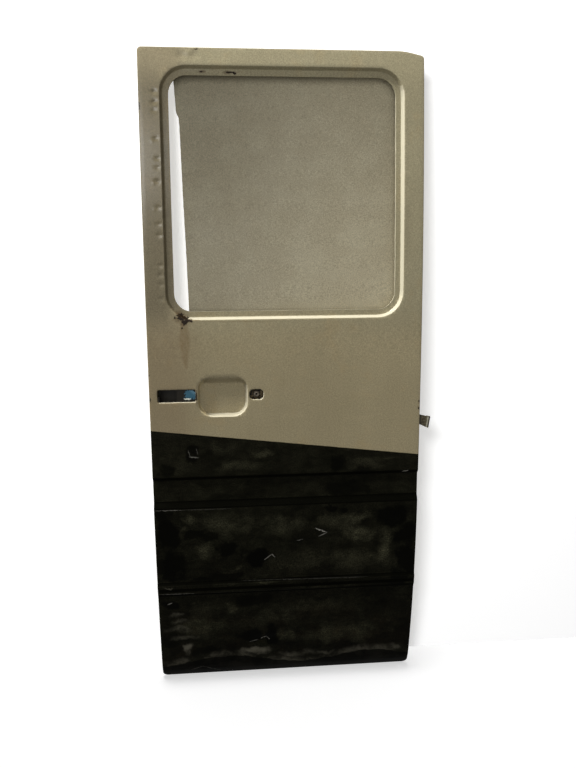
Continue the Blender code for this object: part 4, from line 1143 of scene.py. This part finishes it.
def makeScrews():
    # a pan head with a cross recess, made once
    bm = bmesh.new()
    points = [bm.verts.new((r / 1000, 0, h / 1000)) for r, h in screw["section"]]
    edges = [bm.edges.new(pair) for pair in zip(points, points[1:])]
    axis = {"cent": (0, 0, 0), "axis": (0, 0, 1)}
    bmesh.ops.spin(bm, geom=points + edges, **axis, angle=math.tau, steps=24, use_merge=True)
    bmesh.ops.remove_doubles(bm, verts=bm.verts, dist=0.00001)
    bmesh.ops.recalc_face_normals(bm, faces=bm.faces)
    head = finishPiece("screwHead", bm, finishes["zinc"])
    cutters = []
    for i in range(2):
        bm = bmesh.new()
        bmesh.ops.create_cube(bm, size=1.0)
        bmesh.ops.scale(bm, vec=screw["slot"], verts=bm.verts)
        turn = Matrix.Translation((0, 0, screw["head"])) @ turned(90 * i, "Z")
        bmesh.ops.transform(bm, matrix=turn, verts=bm.verts)
        cutter = finishPiece("cutter", bm, finishes["zinc"])
        cut = head.modifiers.new("recess", "BOOLEAN")
        cut.operation, cut.solver, cut.object = "DIFFERENCE", "EXACT", cutter
        cutters.append(cutter)
    bpy.context.view_layer.update()
    finished = bpy.data.meshes.new_from_object(head.evaluated_get(bpy.context.evaluated_depsgraph_get()))
    for spare in (head, *cutters):
        bpy.data.objects.remove(spare)
    for i, turn in enumerate(screw["turns"], 1):
        low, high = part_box(f"blanking_screw_{i}")
        bm = bmesh.new()
        bm.from_mesh(finished)
        seat = Vector(((low.x + high.x) / 2, high.y - screw["head"], (low.z + high.z) / 2)) - doorZero
        place = Matrix.Translation(seat) @ turned(-90, "X") @ turned(turn, "Z")
        bmesh.ops.transform(bm, matrix=place, verts=bm.verts)
        placePiece(f"pan_screw_{i}", f"blanking_screw_{i}", bm, "zinc", 40)
    bpy.data.meshes.remove(finished)


def makeBracket():
    # the handle's bracket, whose outer end goes on a little further behind the skin
    bm = loadNode("handle_bracket")
    end = min(v.co.x for v in bm.verts) + handleSteel["end"]
    for v in bm.verts:
        if v.co.x < end:
            v.co.x -= handleSteel["tail"]
    return placePiece("bracket_shape", "handle_bracket", bm, "bracket", 40)


def makeLug():
    # the stay's lug, its tongue a little deeper at the end than the plain CAD strip
    bm = loadNode("stay_lug")
    heights = [v.co.z for v in bm.verts]
    middle = (min(heights) + max(heights)) / 2
    for v in bm.verts:
        share = (v.co.x - lug["from"]) / lug["reach"]
        if share > 0.0:
            low = v.co.z < middle - share * lug["reach"] * lug["droop"]
            foot = lug["rootHang"] + share * (lug["endHang"] - lug["rootHang"])
            v.co.z -= foot if low else share * lug["topHang"]
            v.co.x -= share * (lug["lean"] if low else lug["topLean"])
    return placePiece("stay_shape", "stay_lug", bm, "rusty", 40)


def dressNode(name, finish):
    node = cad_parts[name]
    node.data.materials.clear()
    node.data.materials.append(finishes[finish])


hingeNuts = [f"{end}_hinge_nut_{i}" for end in ("lower", "upper") for i in (1, 2)]
# Which finish each CAD node wears under its finished piece, or by itself
nodeFinishes = {
    "skin": ["outer_skin"],
    "inner": ["inner_panel"],
    "blank": ["blanking_sheet"],
    "steel": ["waist_rail", "lower_rail", "lower_hinge_plate", "upper_hinge_plate", "latch_plate"],
    "bracket": ["handle_bracket"],
    "boss": ["handle_nut"],
    "rusty": ["stay_lug", "stay_screw_1", "stay_screw_2"],
    "zinc": [*hingeNuts, *(f"blanking_screw_{i}" for i in range(1, 9))],
}

print("stage: skin")
makeSkin()
print("stage: inner panel and blanking sheet")
makeInner()
windowBlank = makeBlank()
print("stage: small pieces")
makeScrews()
makeBracket()
makeLug()
for name in hingeNuts:
    makeBevelled(name, "zinc", 0.0007)
for finish, names in nodeFinishes.items():
    for name in names:
        dressNode(name, finish)

print("stage: camera, lamps and backdrop")
makeCamera()
makeWorld()
makeLamps(makeStage(), windowBlank)
bpy.context.scene.view_settings.view_transform = "Standard"
